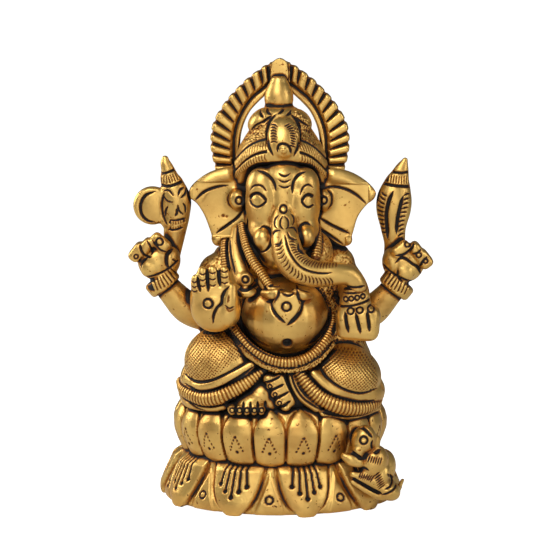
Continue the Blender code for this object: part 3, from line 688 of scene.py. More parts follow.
halo = {
    "centre": 75.5, "middle": 6.0, "thick": 3.0,
    "rim": [(0, 24.4, 18.9, 17.2), (8, 23.1, 18.6, 16.8), (15, 21.9, 17.6, 15.8), (21, 21.1, 16.9, 15.0),
            (28, 20.2, 15.9, 14.2), (37, 19.4, 14.7, 13.0), (46, 18.7, 13.6, 11.9), (56, 18.1, 12.5, 10.8),
            (66, 17.2, 11.5, 9.9), (76, 16.2, 10.8, 9.3), (90, 14.9, 10.1, 8.7),
            (101, 14.6, 9.9, 8.5)],   # degrees from the top, then radii of the outer edge, groove and inner edge
    "section": [(0.06, -0.5), (0.0, 0.0), (0.06, 0.5), (0.95, 0.5), (1.0, 0.0),
                (0.95, -0.5)],   # shares of width, depth
    "cuts": [6.7, 11.7, 18.2, 24.6, 31.6, 38.4, 46.2, 55.0, 63.4, 71.2, 79.8, 88.4],   # degrees from the top
    "cut": 0.4, "cutDepth": 0.5, "notch": 0.2, "swell": 0.4, "groove": 0.42, "grooveDepth": 0.6,
    "keystone": [(-1.8, 95.4), (-1.8, 98.6), (-1.1, 99.6), (0.0, 100.0), (1.0, 99.6), (1.6, 98.6), (1.6, 95.4)],
    "keystoneHalf": 2.0, "keystoneFoot": 94.5,
    "roots": [(12.0, 5.8, 73.4, 2.0), (9.5, 3.5, 72.0, 2.6),
              (6.5, 1.0, 71.5, 3.0)],   # where it grows from the head
    "skin": {"grain": 0.2, "rough": None, "soften": 2},
}


def haloRing(side, turn, rim, hole):
    # the halo's section at one angle from the top
    across, upward = side * math.sin(math.radians(turn)), math.cos(math.radians(turn))
    ring = []
    for share, depth in halo["section"]:
        radius = rim + (hole - rim) * share
        ring.append((across * radius, halo["middle"] + depth * halo["thick"], halo["centre"] + upward * radius))
    return ring


def makeHalo():
    # a pointed arch laid out round a point behind the head, then cut into rays
    angles, *radii = np.array(halo["rim"], float).T
    outer, line, inner = (flow(list(zip(angles, column)), 6).T for column in radii)
    turns = np.linspace(0, angles[-1], 60)
    rows = list(zip(turns, np.interp(turns, *outer), np.interp(turns, *inner)))
    blank = bmesh.new()
    addLoft(blank, [haloRing(-1, *row) for row in rows[:0:-1]] + [haloRing(1, *row) for row in rows])
    addPlate(blank, halo["keystone"], 3.4, 3.6)
    for side in (-1, 1):
        addRope(blank, [(side * x, *rest) for x, *rest in halo["roots"]])
    casting = Casting("halo", blank, **halo["skin"])
    x, y, z = casting.points.T
    turn = np.degrees(np.arctan2(np.abs(x), z - halo["centre"]))
    reach = np.hypot(x, z - halo["centre"])
    rim, groove = np.interp(turn, *outer), np.interp(turn, *line)
    clear = (np.abs(x) > halo["keystoneHalf"]) | (z < halo["keystoneFoot"])
    arch = (y > halo["middle"] - halo["thick"] / 2 - 0.4) & clear
    face = smoothstep(0.1, 0.4, np.abs(casting.normals[:, 1]))
    inward = np.clip((rim - reach) / np.maximum(rim - groove - 0.7, 0.5),
                     -0.1, 2)   # 0 at the rim, 1 where a cut ends
    away = np.min([np.abs(turn - cut) for cut in halo["cuts"]], axis=0) * math.pi / 180 * reach
    half = halo["cut"] * np.sqrt(np.clip(1.02 - np.clip(inward, 0, 1) ** 1.5, 0.001, 1))   # a cut narrows inward
    band = smoothstep(1.05, 0.95, inward) * arch * (turn < angles[-1] - 6)
    cut = np.clip(1 - (away / (half * 1.35)) ** 2, 0, 1) * band
    casting.shift += (1 - (1 - np.clip(away / 1.1, 0, 1)) ** 2) * band * face * halo["swell"]
    casting.shift -= cut * np.maximum(face * halo["cutDepth"], (1 - face) * halo["notch"])
    casting.dark = np.maximum(casting.dark, band * smoothstep(1.25, 0.7, away / half) * np.maximum(face, 0.55))
    track = np.exp(-((reach - groove) / halo["groove"]) ** 2) * face * arch
    casting.shift -= track * halo["grooveDepth"]
    casting.dark = np.maximum(casting.dark, smoothstep(0.25, 0.7, track))
    casting.declare("halo_arch", "halo_keystone")


rightEar = {
    "plates": [([(-6.0, 74.9), (-11.0, 75.9), (-15.2, 74.9), (-18.6, 72.9), (-20.4, 70.8), (-20.1, 68.9),
                 (-18.6, 67.6),
                 (-17.0, 64.9), (-15.7, 61.4), (-14.9, 58.9), (-13.4, 58.2), (-9.9, 60.2), (-6.6, 62.4),
                 (-5.4, 68.0)], -1.0, 3.0)],
    "balls": [((-9.6, -3.4, 68.7), (2.3, 1.9, 2.4))],
    "skin": {"grain": 0.2, "rough": 0.4, "roughSoften": 5},
    "marks": [
        ("ridge", (4.4, 0.9, 2), [(-18.6, 70), (-17.2, 71.8), (-14.8, 73.4), (-11.8, 74.2)]),
        ("boss", ((4.6, 4.8), -0.5), (-13.4, 67.4)),
        ("groove", (0.62, 0.5, 1, 0.6), [(-19.2, 68.4), (-17, 70.4), (-14.2, 71.5), (-11.6, 71.9)]),
        ("ridge", (3.8, 0.8, 2), [(-7.2, 64.8), (-10.4, 61.9), (-14, 59.6)]),
        ("groove", (0.6, 0.5, 1, 0.5), [(-8.2, 66.4), (-9.6, 64.6), (-11.4, 63.2), (-14.4, 61)]),
        ("groove", (0.4, 0.3, 0.7, 0.6), [(-11.4, 70.4), (-12, 69), (-11.7, 67.5), (-10.6, 66.4)]),
        ("ringPunch", (0.85, 0.5, 0.4), (-9.1, 68.7)),
        ("pit", (0.4, 0.15, 0.6), (-12.8, 65)),
        ("pit", (0.3, 0.15, 0.6), (-12, 64.8)),
        ("face", (), "back"),
        ("groove", (0.6, 0.35), [(9.6, 73.2), (14, 72.6), (17.4, 70.6)], [(9, 66.4), (12, 64.4), (14.4, 61.6)]),
    ],
}


leftEar = {
    "plates": [([(7.0, 74.8), (11.3, 75.6), (15.5, 74.9), (19.0, 73.0), (21.4, 70.6), (21.3, 69.2), (19.2, 67.1),
                 (17.5, 64.6), (16.5, 61.2), (15.6, 58.7), (14.2, 58.0), (11.2, 59.6), (7.6, 61.8), (6.4, 68.0)],
                 -1.0, 3.0)],
    "balls": [((9.9, -3.4, 68.7), (2.2, 1.9, 2.5))],
    "skin": {"grain": 0.2, "rough": 0.4, "roughSoften": 5},
    "marks": [
        ("ridge", (4.4, 0.9, 2), [(19.6, 69.8), (17.8, 71.6), (15, 73.2), (12, 74)]),
        ("boss", ((4.6, 4.8), -0.5), (14.2, 67.2)),
        ("groove", (0.62, 0.5, 1, 0.6), [(9.4, 71.3), (12, 71.6), (15, 70.9), (17.3, 69.6), (19.4, 67.7)]),
        ("ridge", (3.2, 0.7, 2), [(8, 63.2), (11.4, 61.5), (15.2, 59.4)]),
        ("groove", (0.6, 0.5, 1, 0.5), [(8.8, 64.6), (11.6, 62.9), (15.8, 60.9)]),
        ("groove", (0.5, 0.4, 1, 0.5), [(8.8, 62), (11.6, 60.3), (14.3, 58.4)]),
        ("groove", (0.55, 0.4, 1, 0.5), [(10.6, 71), (11.7, 69.8), (11.8, 67.8), (10.8, 66.4)]),
        ("ringPunch", (0.85, 0.5, 0.4), (9.7, 68.8)),
        ("face", (), "back"),
        ("groove", (0.6, 0.35), [(-9.6, 73.2), (-14, 72.6), (-17.4, 70.6)], [(-9, 66.4), (-12, 64.4),
          (-14.4, 61.6)]),
    ],
}


body = {
    "centre": (0.2, 2.6),
    "levels": [(21.6, 13.0, 21.6), (23.0, 14.2, 24.0), (22.4, 14.4, 28.0), (20.6, 13.6, 33.0), (18.4, 12.4, 38.0),
               (16.8, 11.2, 43.0), (16.6, 10.4, 48.0), (16.8, 9.2, 53.0), (14.8, 7.8, 57.0), (9.0, 6.0, 60.6)],
    "balls": [((0.6, 1.0, 60.0), (6.4, 6.4, 6.0)),
              ((-12.6, 0.0, 52.6), (4.2, 4.4, 4.6)), ((13.0, 0.0, 53.4), (4.2, 4.4, 4.6)),   # neck and shoulders
              ((-6.0, -4.4, 57.0), (5.4, 5.0, 5.6)), ((6.6, -4.4, 57.0), (5.4, 5.0, 5.4)),   # breast
              ((0.0, -11.8, 25.6), (9.6, 4.2, 4.2))],   # cloth over the ankles
    "ropes": [
        ([(-12.0, 1.6, 44.0, 5.0), (-16.2, 1.0, 42.6, 4.6), (-20.8, 0.0, 43.6, 3.9), (-24.2, -1.0, 47.0, 3.2),
          (-26.8, -1.6, 50.4, 2.8)],),
        ([(12.0, 1.6, 44.0, 5.0), (16.2, 1.0, 42.2, 4.6), (20.8, 0.0, 43.0, 3.8), (24.2, -1.0, 46.4, 3.1),
          (26.6, -1.6, 49.6, 2.8)],),
        ([(-14.6, -0.6, 52.4, 3.8), (-16.4, -4.0, 48.0, 3.8), (-16.2, -8.6, 44.4, 3.7),
          (-14.8, -13.0, 44.4, 3.2)],),
        ([(13.4, -0.6, 52.8, 3.6), (16.2, -4.0, 49.2, 3.5), (16.8, -8.8, 47.2, 3.4), (16.9, -13.6, 47.4, 2.8)],),
    ],
    "skin": {"grain": 0.305, "rough": 0.5, "roughSoften": 8},
    "marks": [
        ("roughen", (0.26, 1.3, 1), [(4, 51.6), (12.6, 50.6), (12.8, 40), (8, 40)]),
        ("roughen", (0.1, 1.7, 0.5), [(7, 62), (15.6, 60), (20, 53), (8, 53)]),
        ("roughen", (0.08, 1.6, 0.6), [(-14.6, 60), (-19.5, 54), (-13, 50), (-11.4, 58)]),
        # painted shade: the body between the giving hand and the left leg is roughened and darkened, as it sits in
        # shadow behind them
        ("roughen", (0.2, 1.3, 1), [(11.5, 41), (20, 41), (20, 35), (11.5, 36)]),
        ("roughen", (0.3, 1.3), [(-8.8, 52), (-9.6, 42), (-13, 40), (-9.6, 39), (-6.8, 44)]),
        ("groove", (0.5, 0.4, 1, 0.4), [(-9.2, 46.8), (-9, 43), (-7.8, 40.2)], [(11.4, 45), (11.2, 41.4),
          (9.6, 38.6)]),
        ("face", (), "back"),
        ("groove", (0.9, 0.35, 0.35, 0.6), [(0, 57.5), (0.2, 50), (0, 42.5)]),
        ("ridge", (3.2, 0.6), [(-14, 57), (-6, 50.5), (4, 45.5), (15.5, 41)]),
        ("groove", (), [(-15, 55.4), (-6.6, 48.8), (3.4, 43.8), (15, 39.2)], [(-12.6, 58.6), (-5.4, 52.2),
          (4.8, 47.2), (16, 42.8)]),
        ("ribs", (1.9, 0.8), [(-13.8, 57), (-6, 50.5), (4.1, 45.5), (15.5, 41)]),
        ("ridge", (2.6, 0.7), [(-18.5, 36.4), (-8, 35), (8, 35), (18.5, 36.4)]),
        ("ribs", (2.1, 0.8), [(-18.5, 36.4), (-8, 35), (8, 35), (18.5, 36.4)]),
        ("groove", (0.5,), [(-19, 37.9), (-8, 36.5), (8, 36.5), (19, 37.9)], [(-19, 34.9), (-8, 33.5), (8, 33.5),
          (19, 34.9)]),
        ("folds", (33, 22), [-17, -12.5, -8, -3.8, 0.6, 4.8, 9.2, 13.4, 17.4]),
    ],
}


def makeBody():
    blank = blankOf(body)
    turns = np.linspace(0, 2 * math.pi, 49)[:-1]
    middle = body["centre"]
    addLoft(blank, [[(middle[0] + wide * math.sin(turn), middle[1] - deep * math.cos(turn), z) for turn in turns]
                    for wide, deep, z in body["levels"]])
    casting = Casting("body", blank, **body["skin"])
    casting.tool(body["marks"])
    casting.declare("torso", "rear_right_arm", "rear_left_arm", "front_right_arm", "front_left_arm")


rightGarland = {
    "cord": [(-8.6, -5.4, 63.4, 1.0), (-7.6, -9.8, 59.8, 1.05), (-6.2, -12.2, 56.6, 1.1), (-4.3, -14.0, 54.0, 1.1),
             (-2.2, -15.8, 51.2, 1.0)],
    "pitch": 0.62,
    "balls": [((-1.2, -16.6, 50.6), (1.6, 1.2, 0.9))],
    "marks": [
        ("groove", (0.4, 0.3, 1, 0.5), [(-2.8, 51.2), (-1.6, 51.5), (-0.2, 51.2)]),
    ],
}
leftGarland = {
    "cord": [(8.0, -5.4, 63.2, 1.1), (8.2, -8.6, 59.8, 1.2), (7.9, -10.8, 56.6, 1.1)],
    "pitch": 0.66,
    "balls": [], "marks": [],
}
shoulderSash = {
    "cord": [(-12.3, -5.0, 59.6, 0.95), (-12.4, -7.2, 57.0, 1.0), (-12.0, -9.2, 53.8, 1.0)],
    "pitch": 0.62,
    "ropes": [([(-9.6, -5.6, 62.0, 1.3), (-10.0, -7.6, 59.0, 1.5), (-9.4, -9.6, 55.6, 1.8),
                (-8.2, -11.4, 52.2, 1.9)], (1.0, 0.7, 1.0)),
              ([(-4.6, -11.2, 51.6, 0.9), (-3.4, -12.6, 50.2, 1.0), (-2.6, -13.6, 49.2, 0.8)],)],
    "balls": [((-7.6, -12.0, 52.0), (2.0, 1.6, 1.9)), ((-7.2, -12.6, 49.2), (2.6, 1.6, 1.3))],
    "marks": [
        ("groove", (0.55, 0.5, 1, 0.4), [(-11.2, 60.4), (-11, 57.4), (-9.9, 53)], [(-8.6, 60.8), (-7.9, 57.1),
          (-6.4, 54)]),
        ("groove", (0.7, 0.5, 1, 0.4), [(-9.6, 50.9), (-8.4, 50), (-6.8, 50.2), (-5.3, 51.4)]),
        ("groove", (0.6, 0.5, 1, 0.5), [(-9, 48.4), (-7.2, 47.6), (-5.4, 48.4)]),
        ("ringPunch", (0.75, 0.5, 0.4), (-7.6, 52.2)),
    ],
}


def makeCord(name, design, *nodes):
    # a twisted or ribbed cord, with whatever is tied to it
    ropes = [(design["cord"],), *design.get("ropes", [])]
    casting = Casting(name, blankOf({"ropes": ropes, "balls": design["balls"]}), grain=0.2, rough=None)
    casting.coil(design["cord"], design["pitch"])
    casting.tool(design["marks"])
    casting.declare(*nodes)


axe = {
    "ropes": [([(-24.8, -0.6, 54.8, 2.0), (-24.2, -0.8, 58.4, 2.3), (-23.7, -1.0, 61.6, 2.6),
                (-23.3, -1.0, 65.0, 3.0),
                (-23.3, -1.0, 68.4, 3.3), (-24.1, -1.0, 71.6, 2.7), (-24.8, -1.0, 73.4, 2.2),
                (-25.2, -1.0, 75.2, 1.6),
                (-25.7, -1.0, 76.8, 1.2), (-25.8, -1.0, 77.7, 0.85)], (1.0, 0.85, 1.0))],
    "turned": [([(3.8, -1.2), (4.35, -0.6), (4.35, 0.6), (3.8, 1.2)], placed((-28.7, -1.2, 67.2),
                                                                             turn=(90, 0, 0)))],
    "balls": [((-25.2, -1.2, 63.4), (2.0, 1.8, 1.6), (0, 40, 0))],
    "skin": {"grain": 0.18, "rough": 0.26, "roughSoften": 2, "soften": 2},
    "marks": [
        ("groove", (0.5,), [(-26.9, 74.4), (-25.2, 74.8), (-23.2, 75.6)]),
        ("groove", (0.6, 0.5), [(-27.3, 71.9), (-24.7, 71.8), (-21.6, 72.9)]),
        ("ribs", (1.9, 0.62, 0.28, 0.85), [(-26.7, 73.2), (-24.8, 73.3), (-22.6, 74.2)]),
        ("groove", (0.62, 0.5, 1, 0.4), [(-28, 70.5), (-30.2, 69.6), (-31.3, 67.6), (-31.1, 65.4), (-29.8, 63.9),
          (-28, 63.5)]),
        ("boss", ((2.6, 3.2), 0.35), (-28.4, 67)),
        ("groove", (0.45, 0.35, 0.95, 0.2), [(-26, 70.3), (-26.5, 68), (-26.3, 65.2), (-25.4, 63)]),
        ("groove", (0.42, 0.35, 1, 0.6), [(-26.1, 70.7), (-24.9, 70.8), (-23.8, 69.6)], [(-26.1, 69.5),
          (-25.4, 68.5), (-23.9, 68.2)], [(-21.1, 71), (-21.3, 70), (-22.3, 69.1)], [(-22.9, 67.7), (-22.6, 66.3),
          (-21.6, 65.3)]),
        ("groove", (0.5, 0.4, 1, 0.6), [(-22.8, 69.6), (-22.4, 70.9), (-21.5, 71.5)]),
        ("groove", (0.38, 0.3, 1, 0.6), [(-21.8, 68.1), (-21.2, 67.1), (-21.2, 65.7)]),
        ("groove", (0.45, 0.35, 1, 0.6), [(-25.1, 67.3), (-25.7, 66.3), (-25.8, 64.9)]),
        ("groove", (0.5, 0.4, 1, 0.5), [(-23.2, 66.8), (-23.1, 65.8), (-23.6, 65)]),
        ("groove", (0.42, 0.35, 1, 0.3), [(-24.9, 64.1), (-23.2, 64.1), (-21.2, 64.5)]),
        ("groove", (0.42, 0.35, 1, 0.4), [(-25.3, 61.9), (-23.5, 61.9), (-21.6, 62.5)]),
        ("ribs", (0.9, 0.6, 0.2), [(-24.6, 63.6), (-23.2, 63.5), (-21.6, 63.9)]),
        ("ribs", (0.7, 0.6, 0.15, 0.7), [(-24.6, 62.3), (-23.2, 62.3), (-22, 62.7)]),
        ("face", (), "back"),
        ("groove", (0.5,), [(27, 74.4), (25.2, 74.8), (23.2, 75.6)]),
        ("groove", (0.6, 0.5), [(27.3, 71.9), (24.7, 71.8), (21.6, 72.9)]),
        ("groove", (0.42, 0.35), [(25.6, 64.1), (23.2, 64.1), (21, 64.5)]),
        ("groove", (0.9, 0.5, 1, 0.2), [(26.2, 70.3), (26.6, 67.5), (26.3, 65.2)]),
    ],
}


noose = {
    "ropes": [([(25.6, -0.6, 55.4, 2.2), (25.9, -0.8, 58.6, 2.4), (25.6, -1.0, 62.0, 2.9), (25.6, -1.0, 65.8, 3.9),
                (25.8, -1.0, 69.0, 3.95), (26.4, -1.0, 72.2, 3.0), (27.0, -1.0, 74.2, 2.1), (27.5, -1.0, 75.8, 1.5),
                (28.1, -1.0, 77.4, 0.7)], (1.0, 0.72, 1.0))],
    "skin": {"grain": 0.18, "rough": 0.26, "roughSoften": 2, "soften": 2},
    "marks": [
        ("groove", (0.5,), [(24.8, 75), (27, 74.7), (29.2, 74.9)]),
        ("groove", (0.6, 0.5), [(23.2, 72.3), (25.9, 71.9), (29.2, 71.6)]),
        ("ribs", (1.8, 0.62, 0.28, 0.85), [(24.2, 73.5), (26.4, 73.2), (29, 73.1)]),
        ("groove", (0.8, 0.6, 1, 0.3), [(25.3, 70.6), (24.3, 68.4), (23.8, 65.4), (24, 62.4), (24.2, 59.8)],
         [(27.6, 69.6), (26.9, 67), (26.4, 64.4), (26.2, 61)]),
        ("hatch", (-0.7, 1.5, 10, -0.5, 0.15, 0.4, 0.32, 0.9), [(23.4, 70.2), (22.7, 67.6), (22.8, 64.4),
          (23.4, 60.6)]),
        ("hatch", (-0.7, 1.5, 10, 0.5, -0.15, 0.4, 0.32, 0.9), [(28.6, 70.6), (28.3, 67.4), (27.4, 64),
          (27.4, 60.4)]),
        ("face", (), "back"),
        ("groove", (0.5,), [(-24.8, 75), (-27, 74.7), (-29.2, 74.9)]),
        ("groove", (0.6, 0.5), [(-23.2, 72.3), (-25.9, 71.9), (-29.2, 71.6)]),
        ("ribs", (2.4, 0.8), [(-23.4, 69.6), (-22.9, 66), (-23.6, 60)], [(-28.2, 69.6), (-28, 66), (-27.4, 60)]),
    ],
}


rearRightHand = {
    "balls": [
        ((-27.9, -2.0, 54.6), (4.3, 3.7, 4.3)), ((-25.0, -2.2, 55.0), (2.6, 3.2, 3.6)),
        ((-29.2, -4.2, 53.4), (2.3, 1.6, 2.3)),   # the ball of the palm
    ],
    "slabs": [
        ((-32.0, -3.6, 57.0), (2.9, 4.6, 4.6), (0, 38, 0), 1.0), ((-30.1, -3.9, 58.2), (2.5, 4.6, 4.4), (0, 36, 0),
                                                                  1.0),
        ((-26.8, -4.4, 59.2), (3.0, 3.2, 5.0), (0, -48, 0), 1.0),   # the thumb
    ],
    "turned": [([(3.5, -1.7), (3.95, -1.2), (4.0, 1.2), (3.5, 1.7)], placed((-26.6, -1.5, 49.8), turn=(0, -38, 0)),
                0.95)],
    "skin": {"grain": 0.2, "rough": 0.3, "roughSoften": 3},
    "marks": [
        ("ringPunch", (0.8, 0.42, 0.35), (-26.9, 59.6)),
        ("groove", (0.5, 0.4, 0.95, 0.5), [(-28.5, 60), (-27.7, 58.6), (-26.7, 57.6), (-25.2, 57.2)]),
        ("groove", (0.75, 0.55, 1, 0.4), [(-24, 57.8), (-25.3, 56.5), (-25.5, 54.9), (-25, 53.4)]),
        ("groove", (0.6, 0.5, 1, 0.4), [(-31.4, 59), (-30.9, 57.4), (-30, 56.3), (-28.8, 56)]),
        ("groove", (0.4, 0.35, 0.9, 0.5), [(-29.8, 60), (-29, 58.7), (-28.6, 57.4), (-28.9, 56.4)]),
        ("groove", (0.45, 0.35, 0.9, 0.5), [(-31.3, 53.4), (-30.9, 54.8), (-29.6, 56)]),
        ("groove", (0.4, 0.3, 0.8, 0.5), [(-24.2, 55.6), (-23.2, 54.9)]),
        ("ringPunch", (0.5, 0.35, 0.25), (-32.2, 56.2)),
        ("groove", (0.5, 0.45), [(-30.4, 51.3), (-27.9, 51.9), (-25.2, 53.2), (-23, 55)], [(-27.4, 47.2),
          (-24.6, 48.9), (-22.4, 51)]),
        ("ribs", (3, 0.85, 0.28, 0.85), [(-28.8, 49.4), (-26, 50.6), (-23.2, 52.8)]),
        ("face", (), "back"),
        ("ribs", (3, 0.85, 0.28), [(28.8, 49.4), (26, 50.6), (23.2, 52.8)]),
        ("groove", (0.5,), [(31.6, 58.6), (29.6, 56.4), (28.4, 54.6)], [(29.4, 60), (27.6, 57.6), (26.6, 55.8)]),
    ],
}


rearLeftHand = {
    "balls": [
        ((28.2, -2.0, 54.2), (4.4, 3.7, 4.4)), ((25.4, -2.2, 54.6), (2.4, 3.2, 3.4)), ((28.0, -4.3, 52.6),
                                                                                       (2.4, 1.7, 2.4)),
    ],
    "slabs": [
        ((32.3, -3.6, 55.4), (3.2, 4.6, 4.4), (0, -38, 0), 1.0), ((30.7, -3.9, 57.4), (2.6, 4.6, 4.2), (0, -36, 0),
                                                                  1.0),
        ((27.2, -4.2, 57.6), (3.0, 3.2, 4.6), (0, 52, 0), 1.0),
    ],
    "turned": [([(3.5, -1.7), (3.95, -1.2), (4.0, 1.2), (3.5, 1.7)], placed((26.4, -1.5, 49.1), turn=(0, 38, 0)),
                0.95)],
    "skin": {"grain": 0.2, "rough": 0.3, "roughSoften": 3},
    "marks": [
        ("ringPunch", (0.6, 0.38), (28.5, 59), (31, 56.6)),
        ("ringPunch", (0.5, 0.38), (32.6, 55.2)),
        ("groove", (0.6, 0.5, 1, 0.4), [(30, 59.4), (29, 57.6), (27.6, 56.6), (25.8, 56.4)], [(25.8, 54.6),
          (27, 55.8), (28.2, 55.7), (29.6, 54.6), (31, 53.6), (31.8, 51.8)]),
        ("groove", (0.5, 0.4, 1, 0.4), [(31.6, 57.9), (30.6, 57), (29.6, 56.8)], [(33, 56.2), (32, 55.2),
          (31.2, 53.8)]),
        ("groove", (0.5, 0.4, 1, 0.5), [(26.4, 53.4), (26.4, 51.6), (27.6, 50.2)]),
        ("groove", (0.5, 0.45), [(23, 54.2), (25.4, 52.2), (30, 50)], [(21.8, 50.4), (24.2, 48.2), (27, 46.4)]),
        ("ribs", (3, 0.85, 0.28, 0.85), [(22.8, 52.2), (26, 49.9), (28.8, 48.6)]),
        ("face", (), "back"),
        ("ribs", (3, 0.85, 0.28), [(-22.8, 52.2), (-26, 49.9), (-28.8, 48.6)]),
        ("groove", (0.5,), [(-31.6, 57.6), (-29.6, 55.6), (-28.4, 53.8)], [(-29.4, 59), (-27.6, 56.8),
          (-26.6, 55)]),
    ],
}


blessingHand = {
    "balls": [((-14.2, -15.2, 46.4), (5.5, 3.5, 5.6)), ((-11.6, -15.6, 45.6), (3.0, 3.4, 3.8))],
    "slabs": [((-14.3, -15.6, 48.6), (9.8, 4.6, 7.0), (4, 0, 0), 1.8)],
    "ropes": [
        ([(-17.7, -16.2, 48.4, 1.3), (-18.3, -16.6, 51.6, 1.25), (-18.4, -16.8, 53.0, 1.0)],),
        ([(-16.2, -16.2, 49.0, 1.35), (-16.9, -16.8, 53.2, 1.3), (-17.0, -16.9, 54.8, 1.0)],),
        ([(-14.1, -16.2, 49.0, 1.35), (-14.6, -16.8, 53.6, 1.3), (-14.7, -16.9, 55.0, 1.0)],),
        ([(-12.0, -16.2, 49.0, 1.35), (-12.1, -16.8, 53.6, 1.3), (-12.2, -16.9, 54.9, 1.0)],),
        ([(-11.6, -16.6, 44.8, 2.1), (-11.0, -17.3, 48.2, 1.9), (-10.6, -17.3, 51.0, 1.3)],),
    ],
    "skin": {"grain": 0.18, "rough": 0.28, "roughSoften": 4},
    "marks": [
        ("groove", (0.62, 0.6, 1, 0.4), [(-18, 53.6), (-17.8, 52.1), (-17.4, 50.2)], [(-15.9, 55.2), (-15.8, 52.8),
          (-15.6, 50.3)], [(-13.4, 55.5), (-13.3, 53.7), (-13.1, 51.4)]),
        ("knuckles", (), [(-19.4, -18, 52.6, 51.5, 50.5), (-17.5, -16.2, 54.3, 53, 51.7),
          (-15.5, -13.9, 54.6, 53.2, 51.8), (-13, -11.2, 54.9, 53.6, 52.4)]),
        ("ringPunch", (1, 0.5, 0.4), (-15.7, 47.7)),
        ("groove", (0.6, 0.5, 1, 0.4), [(-11, 51.6), (-12, 50.5), (-12.6, 49.2), (-12.8, 47.8), (-13.8, 46.7),
          (-14.5, 45.1), (-14.6, 43.2)]),
        ("groove", (0.4, 0.3, 0.8, 0.5), [(-12.1, 47.5), (-11, 46.7), (-9.9, 47.2)]),
        ("groove", (0.35, 0.2, 0.6, 0.5), [(-11.9, 46.9), (-11, 46.1), (-9.9, 46.6)]),
        ("groove", (0.4, 0.3, 0.6, 0.5), [(-11.2, 49.6), (-11.4, 48)]),
    ],
}


givingHand = {
    "slabs": [((17.2, -14.9, 43.1), (9.6, 6.4, 8.2), (4, 4, 0), 2.2)],
    "turned": [([(3.4, 46.6), (3.5, 47.6), (3.1, 49.4), (2.5, 50.8)], placed((16.5, -15.6, 0)), 0.9)],
    "ropes": [([(13.7 + 2.1 * place, -16.4, 45.4 - 0.1 * place, 1.25), (13.9 + 2.1 * place, -17.0, 43.4, 1.3),
                (14.2 + 2.0 * place, -16.4, 41.0, 1.2)],) for place in range(4)],
    "skin": {"grain": 0.18, "rough": 0.28, "roughSoften": 3},
    "marks": [
        ("groove", (0.7, 0.6, 1, 0.4), [(14.2, 45.8), (14.5, 43.6), (15, 41.2)], [(16.5, 45.6), (17, 43.6),
          (17.6, 41)], [(19, 46), (19.3, 43.8), (19.6, 41.4)]),
        ("ringPunch", (0.7, 0.4), (15.4, 46), (17.4, 46.2), (19.9, 46.4)),
        ("groove", (0.5, 0.45, 1, 0.2), [(12.6, 46.8), (16, 47.3), (20.4, 48.6)]),
        ("ridge", (1.2, 0.3), [(13.9, 48.5), (16.2, 48.8), (19, 49.6)]),
        ("ringPunch", (0.5, 0.34), (14.3, 48.6), (15.5, 48.8), (16.8, 49), (18.1, 49.3)),
        ("groove", (0.45, 0.35, 0.9, 0.4), [(13.8, 49.9), (16.2, 50), (18.9, 50.6)]),
    ],
}


belly = {
    "balls": [((1.1, -8.6, 43.4), (9.7, 10.6, 8.6))],
    "plates": [([(1.4, 50.4), (3.2, 50.0), (4.6, 48.0), (3.8, 45.4), (1.5, 43.4), (-0.5, 45.2), (-1.6, 47.8),
                 (-0.4, 50.0)], -17.6, 4.0)],
    "ropes": [([(-3.6, -15.4, 49.6, 0.8), (-2.0, -17.2, 49.6, 1.1), (-0.8, -17.8, 50.2, 0.9)],),
              ([(6.6, -15.4, 49.0, 0.8), (5.0, -17.2, 49.4, 1.1), (3.6, -17.8, 50.2, 0.9)],)],
    "skin": {"grain": 0.2, "rough": 0.3, "roughSoften": 5},
    "marks": [
        ("groove", (0.6, 0.5, 1, 0.5), [(-0.1, 50.9), (-0.6, 49.4), (-1.7, 48.2), (-3, 47.8)], [(3.7, 50.9),
          (4.1, 49.2), (4.7, 48), (5.6, 48)]),
        ("groove", (0.5, 0.4, 1, 0.5), [(0.4, 50.3), (1.8, 49.6), (3.2, 50.3)]),
        ("groove", (0.75, 0.5, 1, 0.5), [(-2, 47.8), (-1.2, 45.8), (0.2, 44.3), (1.2, 43.6)]),
        ("groove", (1, 0.6, 1, 0.5), [(5, 48), (4.5, 46.2), (3.4, 44.6), (1.6, 43)]),
        ("ringPunch", (0.95, 0.45, 0.4), (1.4, 47.2)),
        ("pit", (1.1, 0.9), (1.6, 38.6)),
        ("boss", ((0.45, 0.45), 0.5), (1.6, 38.5)),
    ],
}


waistBelt = {
    "cord": [(-10.8, -9.0, 41.8, 1.0), (-10.0, -12.4, 40.8, 1.05), (-8.3, -14.5, 39.0, 1.1),
             (-6.1, -16.0, 37.1, 1.15),
             (-2.8, -17.2, 35.3, 1.2), (0.5, -17.7, 34.5, 1.2), (3.8, -17.5, 34.7, 1.2), (7.1, -16.4, 36.0, 1.15),
             (9.6, -14.6, 38.2, 1.25), (11.4, -11.6, 40.8, 1.1), (11.8, -8.6, 43.0, 1.0)],
    "pitch": 0.72,
    "ropes": [([(-11.6, -10.8, 40.0, 0.9), (-9.2, -14.2, 37.6, 1.0), (-6.4, -15.8, 35.6, 1.0),
                (-2.6, -16.9, 33.6, 1.0),
                (1.0, -17.0, 33.0, 1.0), (4.6, -16.8, 33.2, 0.9), (8.2, -15.4, 34.6, 0.9),
                (11.4, -12.2, 37.4, 0.9)], (1.0, 0.6, 1.0))],
    "balls": [],
    "marks": [
        ("groove", (0.45, 0.4, 1, 0.2), [(-10.6, 43), (-8.1, 40.2), (-6.2, 38.3), (-2.9, 36.5), (0.4, 35.8),
          (3.8, 36.1), (7.2, 37.6), (10, 40.4)], [(-11, 41), (-9.4, 39), (-6.5, 36.4), (-3.2, 34.3), (0.4, 33.3),
          (4, 33.5), (8, 35.2), (11.2, 38.4)]),
        ("roughen", (0.2, 1.4, 0.7), [(-12, 40), (-6, 35), (0, 32), (8, 33.5), (12, 38), (6, 34.8), (0, 33.2),
          (-8, 37)]),
    ],
}


